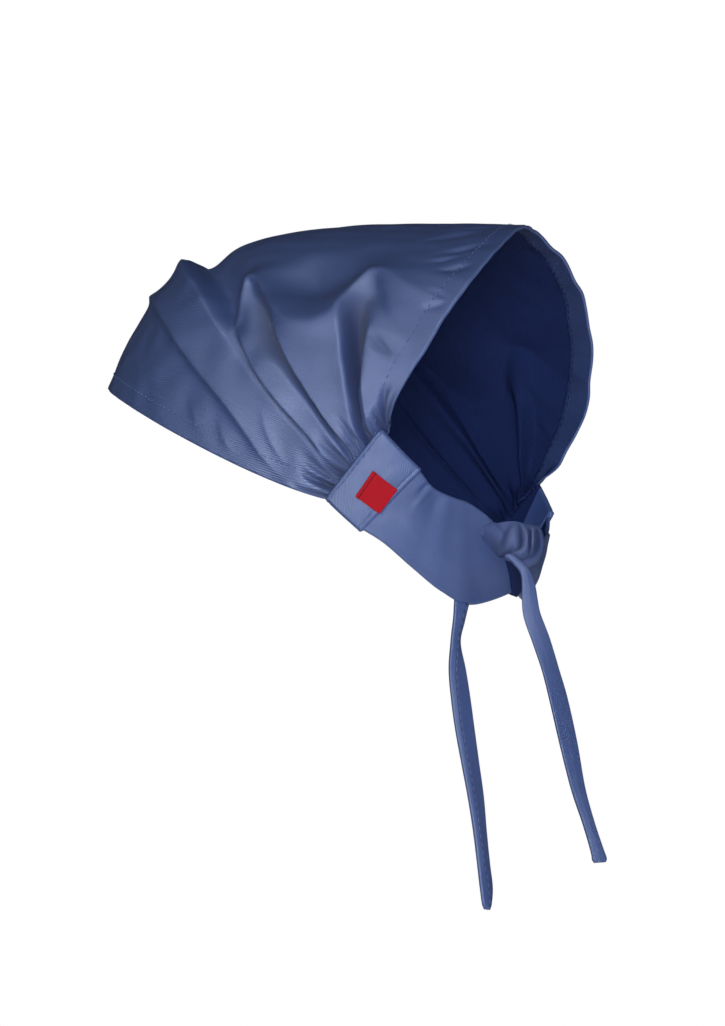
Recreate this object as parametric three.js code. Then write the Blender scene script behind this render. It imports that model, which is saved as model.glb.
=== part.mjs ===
import * as THREE from 'three';

// Chef bandana in millimetres: a gathered cloth crown, two folded cuffs, two straps knotted at the nape
// and two hanging ties.
//
// The cloth is described in the head's own axes, in which the loop of hem, cuffs and straps is level:
// +X is the wearer's left, -Y the face, +Z up, with the origin in the middle between the two cuffs.
// The whole is then tilted, with the forehead raised, and moved so that the part's origin is the
// inside top of the crown, where the head carries it. The two ties hang straight down from there.

// ---- Driving dimensions -------------------------------------------------------------------------

const HALF_BREADTH = 77; // from the middle to a gathered end, across the ears
const BACK_REACH = 51; // from the line through the ears back to the nape
const FOREHEAD_RAISED = THREE.MathUtils.degToRad(30); // how far the head is thrown back
const SEAT = { x: 0, y: -122, z: 80 }; // inside top of the crown, in the head's axes

const CLOTH = 1.7; // thickness of the cloth wall
const HEM_EXTRA = 0.5; // how much thicker the turned hems are
const HEM_WIDTH = 9;
const HEM_EDGE = { inner: 0.8, outer: 1.3 }; // hem widths between which the extra thickness ends
const GAP = 0.35; // clearance between neighbouring pieces

const SEAM_BOTTOM = { y: -4.7, z: -18.6 }; // front end of the gathered seam, under the front hem
const SEAM_TOP = { y: 8, z: 18 }; // rear end of the gathered seam, under the rear hem

const PLEATS = 11; // small pleats along each gathered seam
const PLEAT_PHASE = 0.125; // share of a pleat by which the first one starts late
const PLEAT_HEIGHT = 1.1;
const PLEAT_LENGTH = 0.1; // share of the way to the middle line in which the pleats fade
const PLEAT_FADE = 1.3; // how abruptly they fade

const CROWN_STEPS_BACK = 44; // facets from front hem to rear hem
const CROWN_STEPS_SIDE = 24; // facets from one gathered seam to the middle line
const CROWN_CROWDING = 0.85; // below 1 the facets crowd together towards the gathered seams
const CUFF_STEPS = { along: 6, up: 8 };
const STRAP_STEPS = { along: 14, up: 6 };
const LABEL_STEPS = 3;

const CUFF_OUT = 1.5; // cuff surface outside the loop line
const CUFF_IN = 1.6; // and inside it
const CUFF_OVERHANG = 0.8; // how far the cuff stands past the ends of the gathered seam
const STRAP_THICKNESS = 2;
const STRAP_CUPPING = 1.4; // how far the middle of the strap bows outward
const LABEL = { length: 12.8, width: 13.8, thickness: 0.8, clear: 0.4, upTheCuff: 0.43 };

const TIE_WIDTH = 9;
const TIE_THICKNESS = 1.8;
const TIE_SIDES = 10;
const TIE_SQUARENESS = 0.6; // 1 is an ellipse in section, lower is more of a rectangle

const CLOTH_BLUE = 0x53628f;
const CLOTH_ROUGHNESS = 0.8;
const LABEL_RED = 0xaf1927;
const LABEL_ROUGHNESS = 0.6;

// ---- Tables -------------------------------------------------------------------------------------

// Rows of values with a name for each column
function table(columns, rows) {
  return rows.map((row) => Object.fromEntries(columns.map((name, i) => [name, row[i]])));
}

// The middle line of the crown from the front hem (at 0) to the rear hem (at 1).
// flare widens the arch over the ears, bow pushes its shoulders backward.
const MIDDLE_LINE = table(
  ['at', 'y', 'z', 'flare', 'bow'],
  [
    [0.00, -178.5, -11.5, 0.06, 0],
    [0.12, -177, 14, 0.06, 0],
    [0.24, -169.5, 39, 0.08, 0],
    [0.36, -152.5, 61, 0.10, 0],
    [0.50, -123, 82.5, 0.13, 0],
    [0.64, -87, 98.5, 0.17, 0],
    [0.78, -52, 110.5, 0.21, 1.5],
    [0.90, -23, 119.5, 0.235, 4.5],
    [1.00, -1.5, 125.5, 0.25, 10],
  ],
);
const ARCH_FULLNESS = 0.6; // below 1 the flare sets in close to its ends, above 1 in the middle
const FRONT_HEM_SAG = 4;
const FRONT_HEM_SAG_LEAN = 0.6; // below 1 the sag is deepest near the ear
const FRONT_HEM_SAG_FADE = 3; // how fast the sag dies out behind the front hem

// Folds run from the gathered seam towards the middle line. Their place between front and rear hem and
// their height are given at the seam, low (a quarter of the way), half way and on the middle line.
// reach is the share of the way at which a fold has died out. Widths are in mm, half way up.
const FOLD_COLUMNS = [
  'seamAt', 'lowAt', 'halfAt', 'topAt',
  'seamHigh', 'lowHigh', 'halfHigh', 'topHigh',
  'reach', 'frontWidth', 'rearWidth',
];
const FRONT_STEP = [0.070, 0.145, 0.205, 0.210, 1.2, 2.6, 3.4, 3.0, 2, 4.5, 9];
const FOREHEAD_RIDGE = [0.300, 0.355, 0.368, 0.302, 1.6, 4.5, 5.5, 6.5, 2, 5.0, 7.5];
const FOREHEAD_VALLEY = [0.370, 0.400, 0.385, 0.350, -1.0, -1.5, -4.0, -4.5, 2, 5.0, 5];
const FOREHEAD_PUFF = [0.470, 0.440, 0.430, 0.430, 0, 0, 1.0, 3.2, 2, 9.0, 16];
const FOLDS_LEFT = table(FOLD_COLUMNS, [
  FRONT_STEP,
  FOREHEAD_RIDGE,
  FOREHEAD_VALLEY,
  FOREHEAD_PUFF,
  [0.480, 0.475, 0.470, 0.480, 1.6, 4.5, 6.5, 0, 0.60, 6.0, 9],
  [0.610, 0.640, 0.655, 0.660, 1.0, 1.5, 1.0, 0, 0.36, 9.0, 9],
  [0.715, 0.765, 0.772, 0.780, -2.0, -5.5, -4.5, 0, 0.42, 4.5, 4],
  [0.780, 0.820, 0.815, 0.820, 1.2, 4.0, 5.0, 0, 0.53, 4.5, 8],
  [0.930, 0.930, 0.935, 0.940, 1.0, 1.5, 0, 0, 0.30, 4.0, 6],
]);
const FOLDS_RIGHT = table(FOLD_COLUMNS, [
  FRONT_STEP,
  FOREHEAD_RIDGE,
  FOREHEAD_VALLEY,
  FOREHEAD_PUFF,
  [0.440, 0.470, 0.490, 0.490, 1.4, 4.0, 5.0, 0, 0.52, 7.0, 7],
  [0.580, 0.620, 0.640, 0.650, 1.2, 2.5, 2.5, 0, 0.48, 7.0, 9],
  [0.680, 0.720, 0.735, 0.740, -1.6, -3.0, -2.5, 0, 0.44, 5.0, 5],
  [0.770, 0.790, 0.800, 0.810, 1.2, 2.5, 2.0, 0, 0.46, 5.0, 8],
  [0.930, 0.930, 0.935, 0.940, 1.0, 1.5, 0, 0, 0.30, 4.0, 6],
]);
const FOLD_WAYPOINTS = [0, 0.25, 0.5, 1];
const FOLD_ROUNDNESS = 1.7; // 1 is a sharp crest, 2 a rounded one
const FOLD_FADE = 0.1; // share of the way over which a fold dies out
const FOLD_NARROWING = { power: 0.8, least: 0.22 }; // how the folds draw together towards the seam

// Between the folds the side of the crown bends over into its flatter top
const SHOULDER = { from: 0.40, full: 0.52, fading: 0.80, to: 0.95, crestAt: 0.34, crestWidth: 0.11 };
const SHOULDER_CREST = 3.5;
const SHOULDER_SAG = { depth: 3.5, at: 0.62, width: 0.16 };

// Far edge of a cuff, and sections of a strap from cuff to knot. Angles are degrees round the back of
// the loop from the ear, bottom and top are heights.
const CUFF_FAR = { bottomAngle: 15.6, topAngle: 30, bottom: -26.3, top: 7.0 };
const STRAP_COLUMNS = ['at', 'bottomAngle', 'bottom', 'topAngle', 'top'];
const STRAP_LEFT = table(STRAP_COLUMNS, [
  [0.0, 16.2, -25.3, 30.6, 5.8],
  [0.2, 28, -27.6, 38.2, 1.7],
  [0.4, 43, -33.2, 47, 0.8],
  [0.6, 58, -38.3, 54.5, 0],
  [0.8, 74, -39.7, 61.5, -1.4],
  [1.0, 94.5, -31, 68, -3],
]);
const STRAP_RIGHT = table(STRAP_COLUMNS, [
  [0.0, 16.2, -25.3, 30.6, 5.8],
  [0.2, 27, -27.1, 39, 1.7],
  [0.4, 39, -31.3, 48, 0.8],
  [0.6, 52, -35.4, 56, 0],
  [0.8, 65, -37, 64, -1.3],
  [1.0, 78.2, -35, 71.2, -3],
]);

// Level sections of the knot from top to bottom. It bends round the nape with the loop, reaches
// halfLength to each side of x, rear behind the loop line and front before it.
const KNOT = table(
  ['z', 'x', 'halfLength', 'rear', 'front'],
  [
    [1.8, 5, 11, 3, 2],
    [0, 3, 20, 6.5, 4],
    [-4, 1.4, 24.9, 9.5, 6],
    [-9, -0.9, 21.2, 10.5, 7],
    [-14, -3.2, 17.4, 10, 7],
    [-18, -5.1, 14.3, 7, 6],
    [-23, -7.6, 10.4, 5, 5],
    [-28, -10, 6.4, 3.4, 3.5],
    [-32, -11.4, 3.6, 2, 2],
  ],
);
const KNOT_SIDES = 28;
const KNOT_WRAP = { height: 2, width: 6, lean: 0.6, middleZ: -8 }; // the turn that lies across it

// Routes of the two ties in the part's own axes, straight down from the knot. facing is the angle,
// in degrees from +X towards +Y, to which the flat side of the tie is turned.
const TIE_COLUMNS = ['x', 'y', 'z', 'facing'];
const TIE_LEFT = table(TIE_COLUMNS, [
  [27.4, 85.8, -189.3, 72], [27.9, 84.8, -197, 76], [28.7, 83, -206, 82], [29.1, 82.2, -218, 66],
  [29, 82.4, -231, 58], [28.5, 83.4, -245, 60], [28, 84.4, -260, 66], [27.5, 85.4, -275, 72],
  [27.2, 86, -290, 74], [27.3, 85.8, -304, 76], [27.4, 85.6, -314, 80], [27.6, 85.2, -323, 88],
]);
const TIE_RIGHT = table(TIE_COLUMNS, [
  [15.6, 109.2, -171, 60], [14.6, 111, -176, 62], [13.5, 112.2, -181, 60], [12.6, 112.6, -188, 56],
  [12, 113.8, -198, 40], [10.9, 116, -209, 34], [9.6, 118.4, -222, 30], [8.4, 120.7, -236, 28],
  [7.4, 122.7, -255, 30], [6.4, 124.8, -275, 36], [5.2, 127, -290, 42], [4.1, 129, -302, 48],
  [3.7, 129.7, -308, 46],
]);

// ---- Small helpers ------------------------------------------------------------------------------

const lerp = THREE.MathUtils.lerp;
const clamp = THREE.MathUtils.clamp;

function smoothstep(value, from, to) {
  const share = clamp((value - from) / (to - from), 0, 1);
  return share * share * (3 - 2 * share);
}

// Smooth curve through values given at rising places
function throughValues(places, values, at) {
  const last = places.length - 1;
  const place = clamp(at, places[0], places[last]);
  let i = 0;
  while (i < last - 1 && place > places[i + 1]) i += 1;
  const slopeAt = (k) => {
    const before = Math.max(k - 1, 0);
    const after = Math.min(k + 1, last);
    return (values[after] - values[before]) / (places[after] - places[before]);
  };
  const span = places[i + 1] - places[i];
  const s = (place - places[i]) / span;
  const rise = s * s * (3 - 2 * s);
  const startPull = s * (1 - s) * (1 - s) * span * slopeAt(i);
  const endPull = s * s * (s - 1) * span * slopeAt(i + 1);
  return lerp(values[i], values[i + 1], rise) + startPull + endPull;
}

function column(rows, name, at) {
  return throughValues(rows.map((row) => row.at), rows.map((row) => row[name]), at);
}

function clothMaterial(color, roughness) {
  return new THREE.MeshStandardMaterial({ color, roughness, metalness: 0, flatShading: true });
}

// Closed body from points and triangles, with its faces turned outward
function bodyFrom(points, triangles) {
  let volume = 0;
  for (const [a, b, c] of triangles) {
    volume += points[a].dot(points[b].clone().cross(points[c]));
  }
  const turned = volume < 0 ? triangles.map(([a, b, c]) => [a, c, b]) : triangles;
  const geometry = new THREE.BufferGeometry();
  const numbers = points.flatMap((p) => [p.x, p.y, p.z]);
  geometry.setAttribute('position', new THREE.Float32BufferAttribute(numbers, 3));
  geometry.setIndex(turned.flat());
  geometry.computeVertexNormals();
  return geometry;
}

// A cloth wall: two surfaces over the same (u, v) grid, closed along the four edges
function wall(uSteps, vSteps, outer, inner) {
  const points = [];
  const triangles = [];
  const columns = vSteps + 1;
  const layer = (uSteps + 1) * columns;
  for (const surface of [outer, inner]) {
    for (let i = 0; i <= uSteps; i += 1) {
      for (let j = 0; j <= vSteps; j += 1) {
        points.push(surface(i / uSteps, j / vSteps));
      }
    }
  }
  const quad = (a, b, c, d) => triangles.push([a, b, c], [a, c, d]);
  const at = (i, j) => i * columns + j;
  for (let i = 0; i < uSteps; i += 1) {
    for (let j = 0; j < vSteps; j += 1) {
      quad(at(i, j), at(i + 1, j), at(i + 1, j + 1), at(i, j + 1));
      quad(layer + at(i, j), layer + at(i, j + 1), layer + at(i + 1, j + 1), layer + at(i + 1, j));
    }
  }
  const edge = [];
  for (let i = 0; i < uSteps; i += 1) edge.push(at(i, 0));
  for (let j = 0; j < vSteps; j += 1) edge.push(at(uSteps, j));
  for (let i = uSteps; i > 0; i -= 1) edge.push(at(i, vSteps));
  for (let j = vSteps; j > 0; j -= 1) edge.push(at(0, j));
  edge.forEach((a, k) => {
    const b = edge[(k + 1) % edge.length];
    quad(b, a, layer + a, layer + b);
  });
  return bodyFrom(points, triangles);
}

// A solid through closed rings of points, with a fan of triangles over each end
function loft(rings) {
  const sides = rings[0].length;
  const points = rings.flat();
  const triangles = [];
  for (let i = 0; i < rings.length - 1; i += 1) {
    for (let j = 0; j < sides; j += 1) {
      const next = (j + 1) % sides;
      const a = i * sides + j;
      const b = i * sides + next;
      triangles.push([a, b, b + sides], [a, b + sides, a + sides]);
    }
  }
  for (const end of [0, rings.length - 1]) {
    const middle = rings[end].reduce((sum, p) => sum.add(p), new THREE.Vector3()).divideScalar(sides);
    points.push(middle);
    for (let j = 0; j < sides; j += 1) {
      const here = end * sides + j;
      const next = end * sides + (j + 1) % sides;
      triangles.push(end === 0 ? [points.length - 1, next, here] : [points.length - 1, here, next]);
    }
  }
  return bodyFrom(points, triangles);
}

// ---- Crown --------------------------------------------------------------------------------------

// The smooth crown without folds. way runs from the gathered seam (0) to the middle line (1),
// back from the front hem (0) to the rear hem (1).
function smoothCrown(way, back, side) {
  const turn = way * Math.PI / 2;
  const rise = Math.sin(turn);
  const shoulder = Math.sin(Math.PI * rise);
  const sagPlace = Math.sin(Math.PI * Math.pow(rise, FRONT_HEM_SAG_LEAN));
  const sag = FRONT_HEM_SAG * sagPlace * Math.pow(1 - back, FRONT_HEM_SAG_FADE);
  const seamY = lerp(SEAM_BOTTOM.y, SEAM_TOP.y, back);
  const seamZ = lerp(SEAM_BOTTOM.z, SEAM_TOP.z, back);
  const arch = Math.pow(Math.max(Math.sin(2 * turn), 0), ARCH_FULLNESS);
  const flare = 1 + column(MIDDLE_LINE, 'flare', back) * arch;
  return new THREE.Vector3(
    side * HALF_BREADTH * Math.cos(turn) * flare,
    lerp(seamY, column(MIDDLE_LINE, 'y', back), rise) + column(MIDDLE_LINE, 'bow', back) * shoulder,
    lerp(seamZ, column(MIDDLE_LINE, 'z', back), rise) - sag,
  );
}

// Direction out of the crown: straight out at the gathered seam, and square to the cloth above it
const SEAM_FLATNESS = 0.12; // share of the way over which the one turns into the other
const SLOPE_STEP = 0.001;
const NEAREST_THE_SEAM = 0.02; // where the smooth crown is too narrow to have a slope of its own
function crownOutward(way, back, side) {
  const place = clamp(way, NEAREST_THE_SEAM, 1 - SLOPE_STEP);
  const higher = smoothCrown(place + SLOPE_STEP, back, side);
  const across = higher.sub(smoothCrown(place - SLOPE_STEP, back, side));
  const farther = smoothCrown(place, Math.min(back + SLOPE_STEP, 1), side);
  const along = farther.sub(smoothCrown(place, Math.max(back - SLOPE_STEP, 0), side));
  const square = along.cross(across).multiplyScalar(side).normalize();
  return new THREE.Vector3(side, 0, 0).lerp(square, smoothstep(way, 0, SEAM_FLATNESS)).normalize();
}

// Distance from front hem to rear hem along the smooth crown
const HEM_TO_HEM_SAMPLES = 24;
function hemToHem(way) {
  let length = 0;
  for (let k = 0; k < HEM_TO_HEM_SAMPLES; k += 1) {
    const here = smoothCrown(way, k / HEM_TO_HEM_SAMPLES, 1);
    length += here.distanceTo(smoothCrown(way, (k + 1) / HEM_TO_HEM_SAMPLES, 1));
  }
  return length;
}
const HALF_WAY_LENGTH = hemToHem(0.5);

// Height of the folds and pleats above the smooth crown
function foldHeight(way, back, side, length) {
  const folds = side > 0 ? FOLDS_LEFT : FOLDS_RIGHT;
  const drawnTogether = Math.pow(length / HALF_WAY_LENGTH, FOLD_NARROWING.power);
  const narrowing = Math.max(drawnTogether, FOLD_NARROWING.least);
  let height = 0;
  for (const fold of folds) {
    const places = [fold.seamAt, fold.lowAt, fold.halfAt, fold.topAt];
    const heights = [fold.seamHigh, fold.lowHigh, fold.halfHigh, fold.topHigh];
    const centre = throughValues(FOLD_WAYPOINTS, places, way);
    const crest = throughValues(FOLD_WAYPOINTS, heights, way);
    const offset = (back - centre) * length;
    const width = (offset < 0 ? fold.frontWidth : fold.rearWidth) * narrowing;
    const dying = 1 - smoothstep(way, fold.reach - FOLD_FADE, fold.reach);
    height += crest * dying * Math.exp(-Math.pow(Math.abs(offset) / width, FOLD_ROUNDNESS));
  }
  const pleatTurn = 2 * Math.PI * (PLEATS * back + PLEAT_PHASE);
  const pleatFading = Math.exp(-Math.pow(way / PLEAT_LENGTH, PLEAT_FADE));
  height += PLEAT_HEIGHT * Math.sin(pleatTurn) * pleatFading;
  const shoulder = smoothstep(back, SHOULDER.from, SHOULDER.full)
    * (1 - smoothstep(back, SHOULDER.fading, SHOULDER.to));
  const crestOffset = (way - SHOULDER.crestAt) / SHOULDER.crestWidth;
  const sagOffset = (way - SHOULDER_SAG.at) / SHOULDER_SAG.width;
  height += shoulder * SHOULDER_CREST * Math.exp(-crestOffset * crestOffset);
  height -= shoulder * SHOULDER_SAG.depth * Math.exp(-sagOffset * sagOffset);
  return height;
}

function crown() {
  const across = (u) => {
    const place = 2 * u - 1;
    const side = place < 0 ? 1 : -1;
    return { side, way: 1 - Math.pow(Math.abs(place), CROWN_CROWDING) };
  };
  const surface = (inset) => (u, back) => {
    const { side, way } = across(u);
    const length = hemToHem(way);
    const outward = crownOutward(way, back, side);
    const toHem = Math.min(back, 1 - back) * length;
    const cover = 1 - smoothstep(toHem, HEM_WIDTH * HEM_EDGE.inner, HEM_WIDTH * HEM_EDGE.outer);
    const thickness = CLOTH + HEM_EXTRA * cover;
    const height = foldHeight(way, back, side, length) - inset * thickness;
    return smoothCrown(way, back, side).addScaledVector(outward, height);
  };
  return wall(2 * CROWN_STEPS_SIDE, CROWN_STEPS_BACK, surface(0), surface(1));
}

// ---- Cuffs, label and straps --------------------------------------------------------------------

// Angle behind the ear, in degrees, at which the loop has gone back to y
function loopAngle(y) {
  return THREE.MathUtils.radToDeg(Math.asin(y / BACK_REACH));
}

function loopOutward(angle, side) {
  const turn = THREE.MathUtils.degToRad(angle);
  const outward = new THREE.Vector3(side * Math.cos(turn) / HALF_BREADTH, Math.sin(turn) / BACK_REACH, 0);
  return outward.normalize();
}

// A point of the level loop, at an angle behind the ear, lifted to a height
function onLoop(angle, z, side) {
  const turn = THREE.MathUtils.degToRad(angle);
  return new THREE.Vector3(side * HALF_BREADTH * Math.cos(turn), BACK_REACH * Math.sin(turn), z);
}

// u runs from the gathered seam to the far edge, v from the bottom edge to the top edge
function onCuff(u, v, out, side) {
  const width = SEAM_TOP.z - SEAM_BOTTOM.z;
  const share = lerp(-CUFF_OVERHANG / width, 1 + CUFF_OVERHANG / width, v);
  const seamAngle = loopAngle(lerp(SEAM_BOTTOM.y, SEAM_TOP.y, share) + GAP);
  const angle = lerp(seamAngle, lerp(CUFF_FAR.bottomAngle, CUFF_FAR.topAngle, share), u);
  const bottom = lerp(SEAM_BOTTOM.z, CUFF_FAR.bottom, u);
  const top = lerp(SEAM_TOP.z, CUFF_FAR.top, u);
  const outward = new THREE.Vector3(side, 0, 0).lerp(loopOutward(angle, side), u).normalize();
  return onLoop(angle, lerp(bottom, top, share), side).addScaledVector(outward, out);
}

function cuff(side) {
  const face = (out) => (u, v) => onCuff(u, v, out, side);
  return wall(CUFF_STEPS.along, CUFF_STEPS.up, face(CUFF_OUT), face(-CUFF_IN));
}

function label(side) {
  const cuffLength = onCuff(0, 0.5, 0, side).distanceTo(onCuff(1, 0.5, 0, side));
  const cuffWidth = onCuff(0.5, 0, 0, side).distanceTo(onCuff(0.5, 1, 0, side));
  const from = { u: 1 - LABEL.length / cuffLength, v: LABEL.upTheCuff - LABEL.width / cuffWidth / 2 };
  const size = { u: LABEL.length / cuffLength, v: LABEL.width / cuffWidth };
  const low = CUFF_OUT + LABEL.clear;
  const face = (out) => (u, v) => onCuff(from.u + u * size.u, from.v + v * size.v, out, side);
  return wall(LABEL_STEPS, LABEL_STEPS, face(low + LABEL.thickness), face(low));
}

function strap(sections, side) {
  const gapAngle = THREE.MathUtils.radToDeg(GAP / HALF_BREADTH);
  const face = (out) => (u, v) => {
    const bottomAngle = column(sections, 'bottomAngle', u) + gapAngle;
    const topAngle = column(sections, 'topAngle', u) + gapAngle;
    const angle = lerp(bottomAngle, topAngle, v);
    const z = lerp(column(sections, 'bottom', u), column(sections, 'top', u), v);
    const cupping = STRAP_CUPPING * Math.sin(Math.PI * v) * Math.sin(Math.PI * u);
    return onLoop(angle, z, side).addScaledVector(loopOutward(angle, side), out + cupping);
  };
  const { along, up } = STRAP_STEPS;
  return wall(along, up, face(STRAP_THICKNESS / 2), face(-STRAP_THICKNESS / 2));
}

// ---- Knot ---------------------------------------------------------------------------------------

// How far the turn that lies across the knot stands out behind it
function knotWrap(x, z) {
  const { height, width, lean, middleZ } = KNOT_WRAP;
  const fromMiddle = x * Math.cos(lean) + (z - middleZ) * Math.sin(lean);
  return height * Math.exp(-((fromMiddle / width) ** 2));
}

function knot() {
  const rings = KNOT.map((section) => {
    const ring = [];
    for (let k = 0; k < KNOT_SIDES; k += 1) {
      const turn = 2 * Math.PI * k / KNOT_SIDES;
      const behind = Math.sin(turn);
      const x = section.x + section.halfLength * Math.cos(turn);
      const loopY = BACK_REACH * Math.sqrt(1 - (x / HALF_BREADTH) ** 2);
      const depth = behind > 0 ? section.rear + knotWrap(x, section.z) : section.front;
      ring.push(new THREE.Vector3(x, loopY + depth * behind, section.z));
    }
    return ring;
  });
  return loft(rings);
}

// ---- Ties ---------------------------------------------------------------------------------------

// cos or sin of a turn, drawn out towards the corners of a rectangle
function squared(value) {
  return Math.sign(value) * Math.abs(value) ** TIE_SQUARENESS;
}

// Flat cord through the rows of a route, turned to the facing of each row
function tie(rows) {
  const steps = 2 * (rows.length - 1);
  const places = rows.map((row, i) => i);
  const at = (name, i) => throughValues(places, rows.map((row) => row[name]), i / 2);
  const centres = [];
  for (let i = 0; i <= steps; i += 1) {
    centres.push(new THREE.Vector3(at('x', i), at('y', i), at('z', i)));
  }
  const rings = centres.map((centre, i) => {
    const ahead = centres[Math.min(i + 1, steps)].clone();
    const along = ahead.sub(centres[Math.max(i - 1, 0)]).normalize();
    const facing = THREE.MathUtils.degToRad(at('facing', i));
    const wide = new THREE.Vector3(Math.cos(facing), Math.sin(facing), 0).cross(along).normalize();
    const thick = along.clone().cross(wide).normalize();
    const ring = [];
    for (let k = 0; k < TIE_SIDES; k += 1) {
      const turn = 2 * Math.PI * (k + 0.5) / TIE_SIDES;
      const w = TIE_WIDTH / 2 * squared(Math.cos(turn));
      const t = TIE_THICKNESS / 2 * squared(Math.sin(turn));
      ring.push(centre.clone().addScaledVector(wide, w).addScaledVector(thick, t));
    }
    return ring;
  });
  return loft(rings);
}

// ---- Assembly -----------------------------------------------------------------------------------

function piece(name, geometry, color = CLOTH_BLUE, roughness = CLOTH_ROUGHNESS) {
  const mesh = new THREE.Mesh(geometry, clothMaterial(color, roughness));
  mesh.name = name;
  return mesh;
}

const worn = new THREE.Group();
worn.position.set(-SEAT.x, -SEAT.y, -SEAT.z);
worn.add(
  piece('crown', crown()),
  piece('cuff_left', cuff(1)),
  piece('cuff_right', cuff(-1)),
  piece('label_left', label(1), LABEL_RED, LABEL_ROUGHNESS),
  piece('strap_left', strap(STRAP_LEFT, 1)),
  piece('strap_right', strap(STRAP_RIGHT, -1)),
  piece('knot', knot()),
);

const tilted = new THREE.Group();
tilted.rotation.x = -FOREHEAD_RAISED;
tilted.add(worn);

const bandana = new THREE.Group();
bandana.add(
  tilted,
  piece('tie_left', tie(TIE_LEFT)),
  piece('tie_right', tie(TIE_RIGHT)),
);

export default bandana;
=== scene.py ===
"""Chef bandana: the looks of a gathered cloth crown with cuffs, straps, a knot at the nape and two ties.

The cloth is described as in the CAD source, in millimetres in the head's own axes, in which the loop of
hem, cuffs and straps is level. to_row() turns such points into the frame's metres.
"""
import math

import bpy
import numpy as np
from mathutils import Matrix, Vector


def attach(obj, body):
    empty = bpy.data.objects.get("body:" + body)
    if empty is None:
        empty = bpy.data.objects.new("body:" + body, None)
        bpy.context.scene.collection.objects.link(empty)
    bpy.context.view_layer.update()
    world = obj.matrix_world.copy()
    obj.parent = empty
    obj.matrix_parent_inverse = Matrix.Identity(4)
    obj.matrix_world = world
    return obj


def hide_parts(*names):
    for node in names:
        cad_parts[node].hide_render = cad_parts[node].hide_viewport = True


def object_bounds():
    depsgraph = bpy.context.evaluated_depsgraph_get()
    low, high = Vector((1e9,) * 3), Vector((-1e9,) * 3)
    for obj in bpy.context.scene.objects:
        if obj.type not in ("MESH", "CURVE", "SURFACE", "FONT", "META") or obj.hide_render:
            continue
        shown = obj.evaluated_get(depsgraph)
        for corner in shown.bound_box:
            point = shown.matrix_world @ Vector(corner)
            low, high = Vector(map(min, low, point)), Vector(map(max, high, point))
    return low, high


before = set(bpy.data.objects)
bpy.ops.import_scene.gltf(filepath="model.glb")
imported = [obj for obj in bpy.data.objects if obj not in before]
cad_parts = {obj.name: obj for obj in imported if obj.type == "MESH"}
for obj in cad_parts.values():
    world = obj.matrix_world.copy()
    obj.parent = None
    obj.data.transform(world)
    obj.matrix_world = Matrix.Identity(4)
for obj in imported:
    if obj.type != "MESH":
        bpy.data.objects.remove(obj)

CAD_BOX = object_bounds()

# ---- Sizes in millimetres, head axes ----

HALF_BREADTH = 77.0
BACK_REACH = 51.0
FOREHEAD_RAISED = math.radians(30)
SEAT = np.array([0.0, -122.0, 80.0])

CLOTH = 0.9
HEM_WIDTH = 9.0
HEM_EXTRA = 0.7
HEM_EDGE = 0.8

SEAM_BOTTOM = np.array([-4.7, -18.6])
SEAM_TOP = np.array([8.0, 18.0])

CROWN_STEPS = {"left": 130, "right": 86, "back": 216}

# Sides are 1 for the wearer's left and -1 for the right.
CUFF_OUT = 1.5
CUFF_IN = 1.6
CUFF_OVERHANG = 0.8
CUFF_FAR = {"bottom_angle": 15.6, "top_angle": 30.0, "bottom": -26.3, "top": 7.0}
SEAM_GAP = 0.35
CUFF_LENGTH = 20.0
CUFF_WIDTH = 40.0
CUFF_STEPS = (100, 90)
# Where each cuff ends, as shares of its length from the seam (seam, far) and of its width.
CUFF_TRIM = {1: {"seam_top": 0.90, "far_top": 0.95, "far_bottom": 0.03, "seam": 0.0, "far": 1.0},
             -1: {"seam_top": 0.97, "far_top": 0.98, "far_bottom": 0.03, "seam": -0.10, "far": 0.86}}
CUFF_RUMPLE = {"height": 0.6, "finer": (3, 1.5)}
# How far from the seam a cuff's inner side has the crown's painted shade material, at the bottom and at the
# top.
CUFF_SHADED = {1: (0.0, 0.0), -1: (0.80, 0.22)}
SEWN_EDGE = {"rim": 0.30, "rim_width": 0.45, "groove": 0.20, "groove_width": 0.35, "stitches_in": 0.9}
LABEL = {"length": 11.0, "width": 14.4, "thickness": 0.5, "clear": 0.4, "along": 0.74, "up": 0.455,
         "turned": 6.0, "strip": 1.3, "strip_edge": 0.25, "strip_height": 0.25, "curl": 0.25,
         "corners": 4, "steps": (60, 60)}
STRAP_THICKNESS = 2.0
STRAP_CLOTH = (110.0, 38.0)  # length and width over which the weave lies on a strap
STRAP_STEPS = (160, 60)
STRAP_RUMPLE = 1.2
# Kinks: where along and up the strap, how long and tall as shares of it, and how far they stand out.
NAPE_KINKS = [(0.86, 0.12, 0.10, 0.18, -1.4), (0.60, 0.30, 0.12, 0.20, 0.7)]
STRAP_KINKS = {1: [(0.13, 0.92, 0.030, 0.14, -1.2), (0.17, 0.80, 0.035, 0.16, 0.8),
                   (0.30, 0.85, 0.05, 0.18, -0.8), *NAPE_KINKS],
               -1: NAPE_KINKS}
# How far each strap stands out from the loop at its bottom, middle and top.
STRAP_BOW = {1: (0.0, 1.4, 0.0), -1: (-1.8, -1.0, -3.1)}

TIE_WIDTH = 9.0
TIE_THICKNESS = 1.8

MM = 0.001

# ---- Small helpers ----


def table(columns, rows):
    """Rows of numbers as one array for each named column."""
    return dict(zip(columns, np.array(rows, float).T))


def lerp(start, end, share):
    return start + (end - start) * share


def smoothstep(value, start, end):
    share = np.clip((value - start) / (end - start), 0, 1)
    return share * share * (3 - 2 * share)


def bell(distance, width):
    return np.exp(-(distance / width) ** 2)


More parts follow.
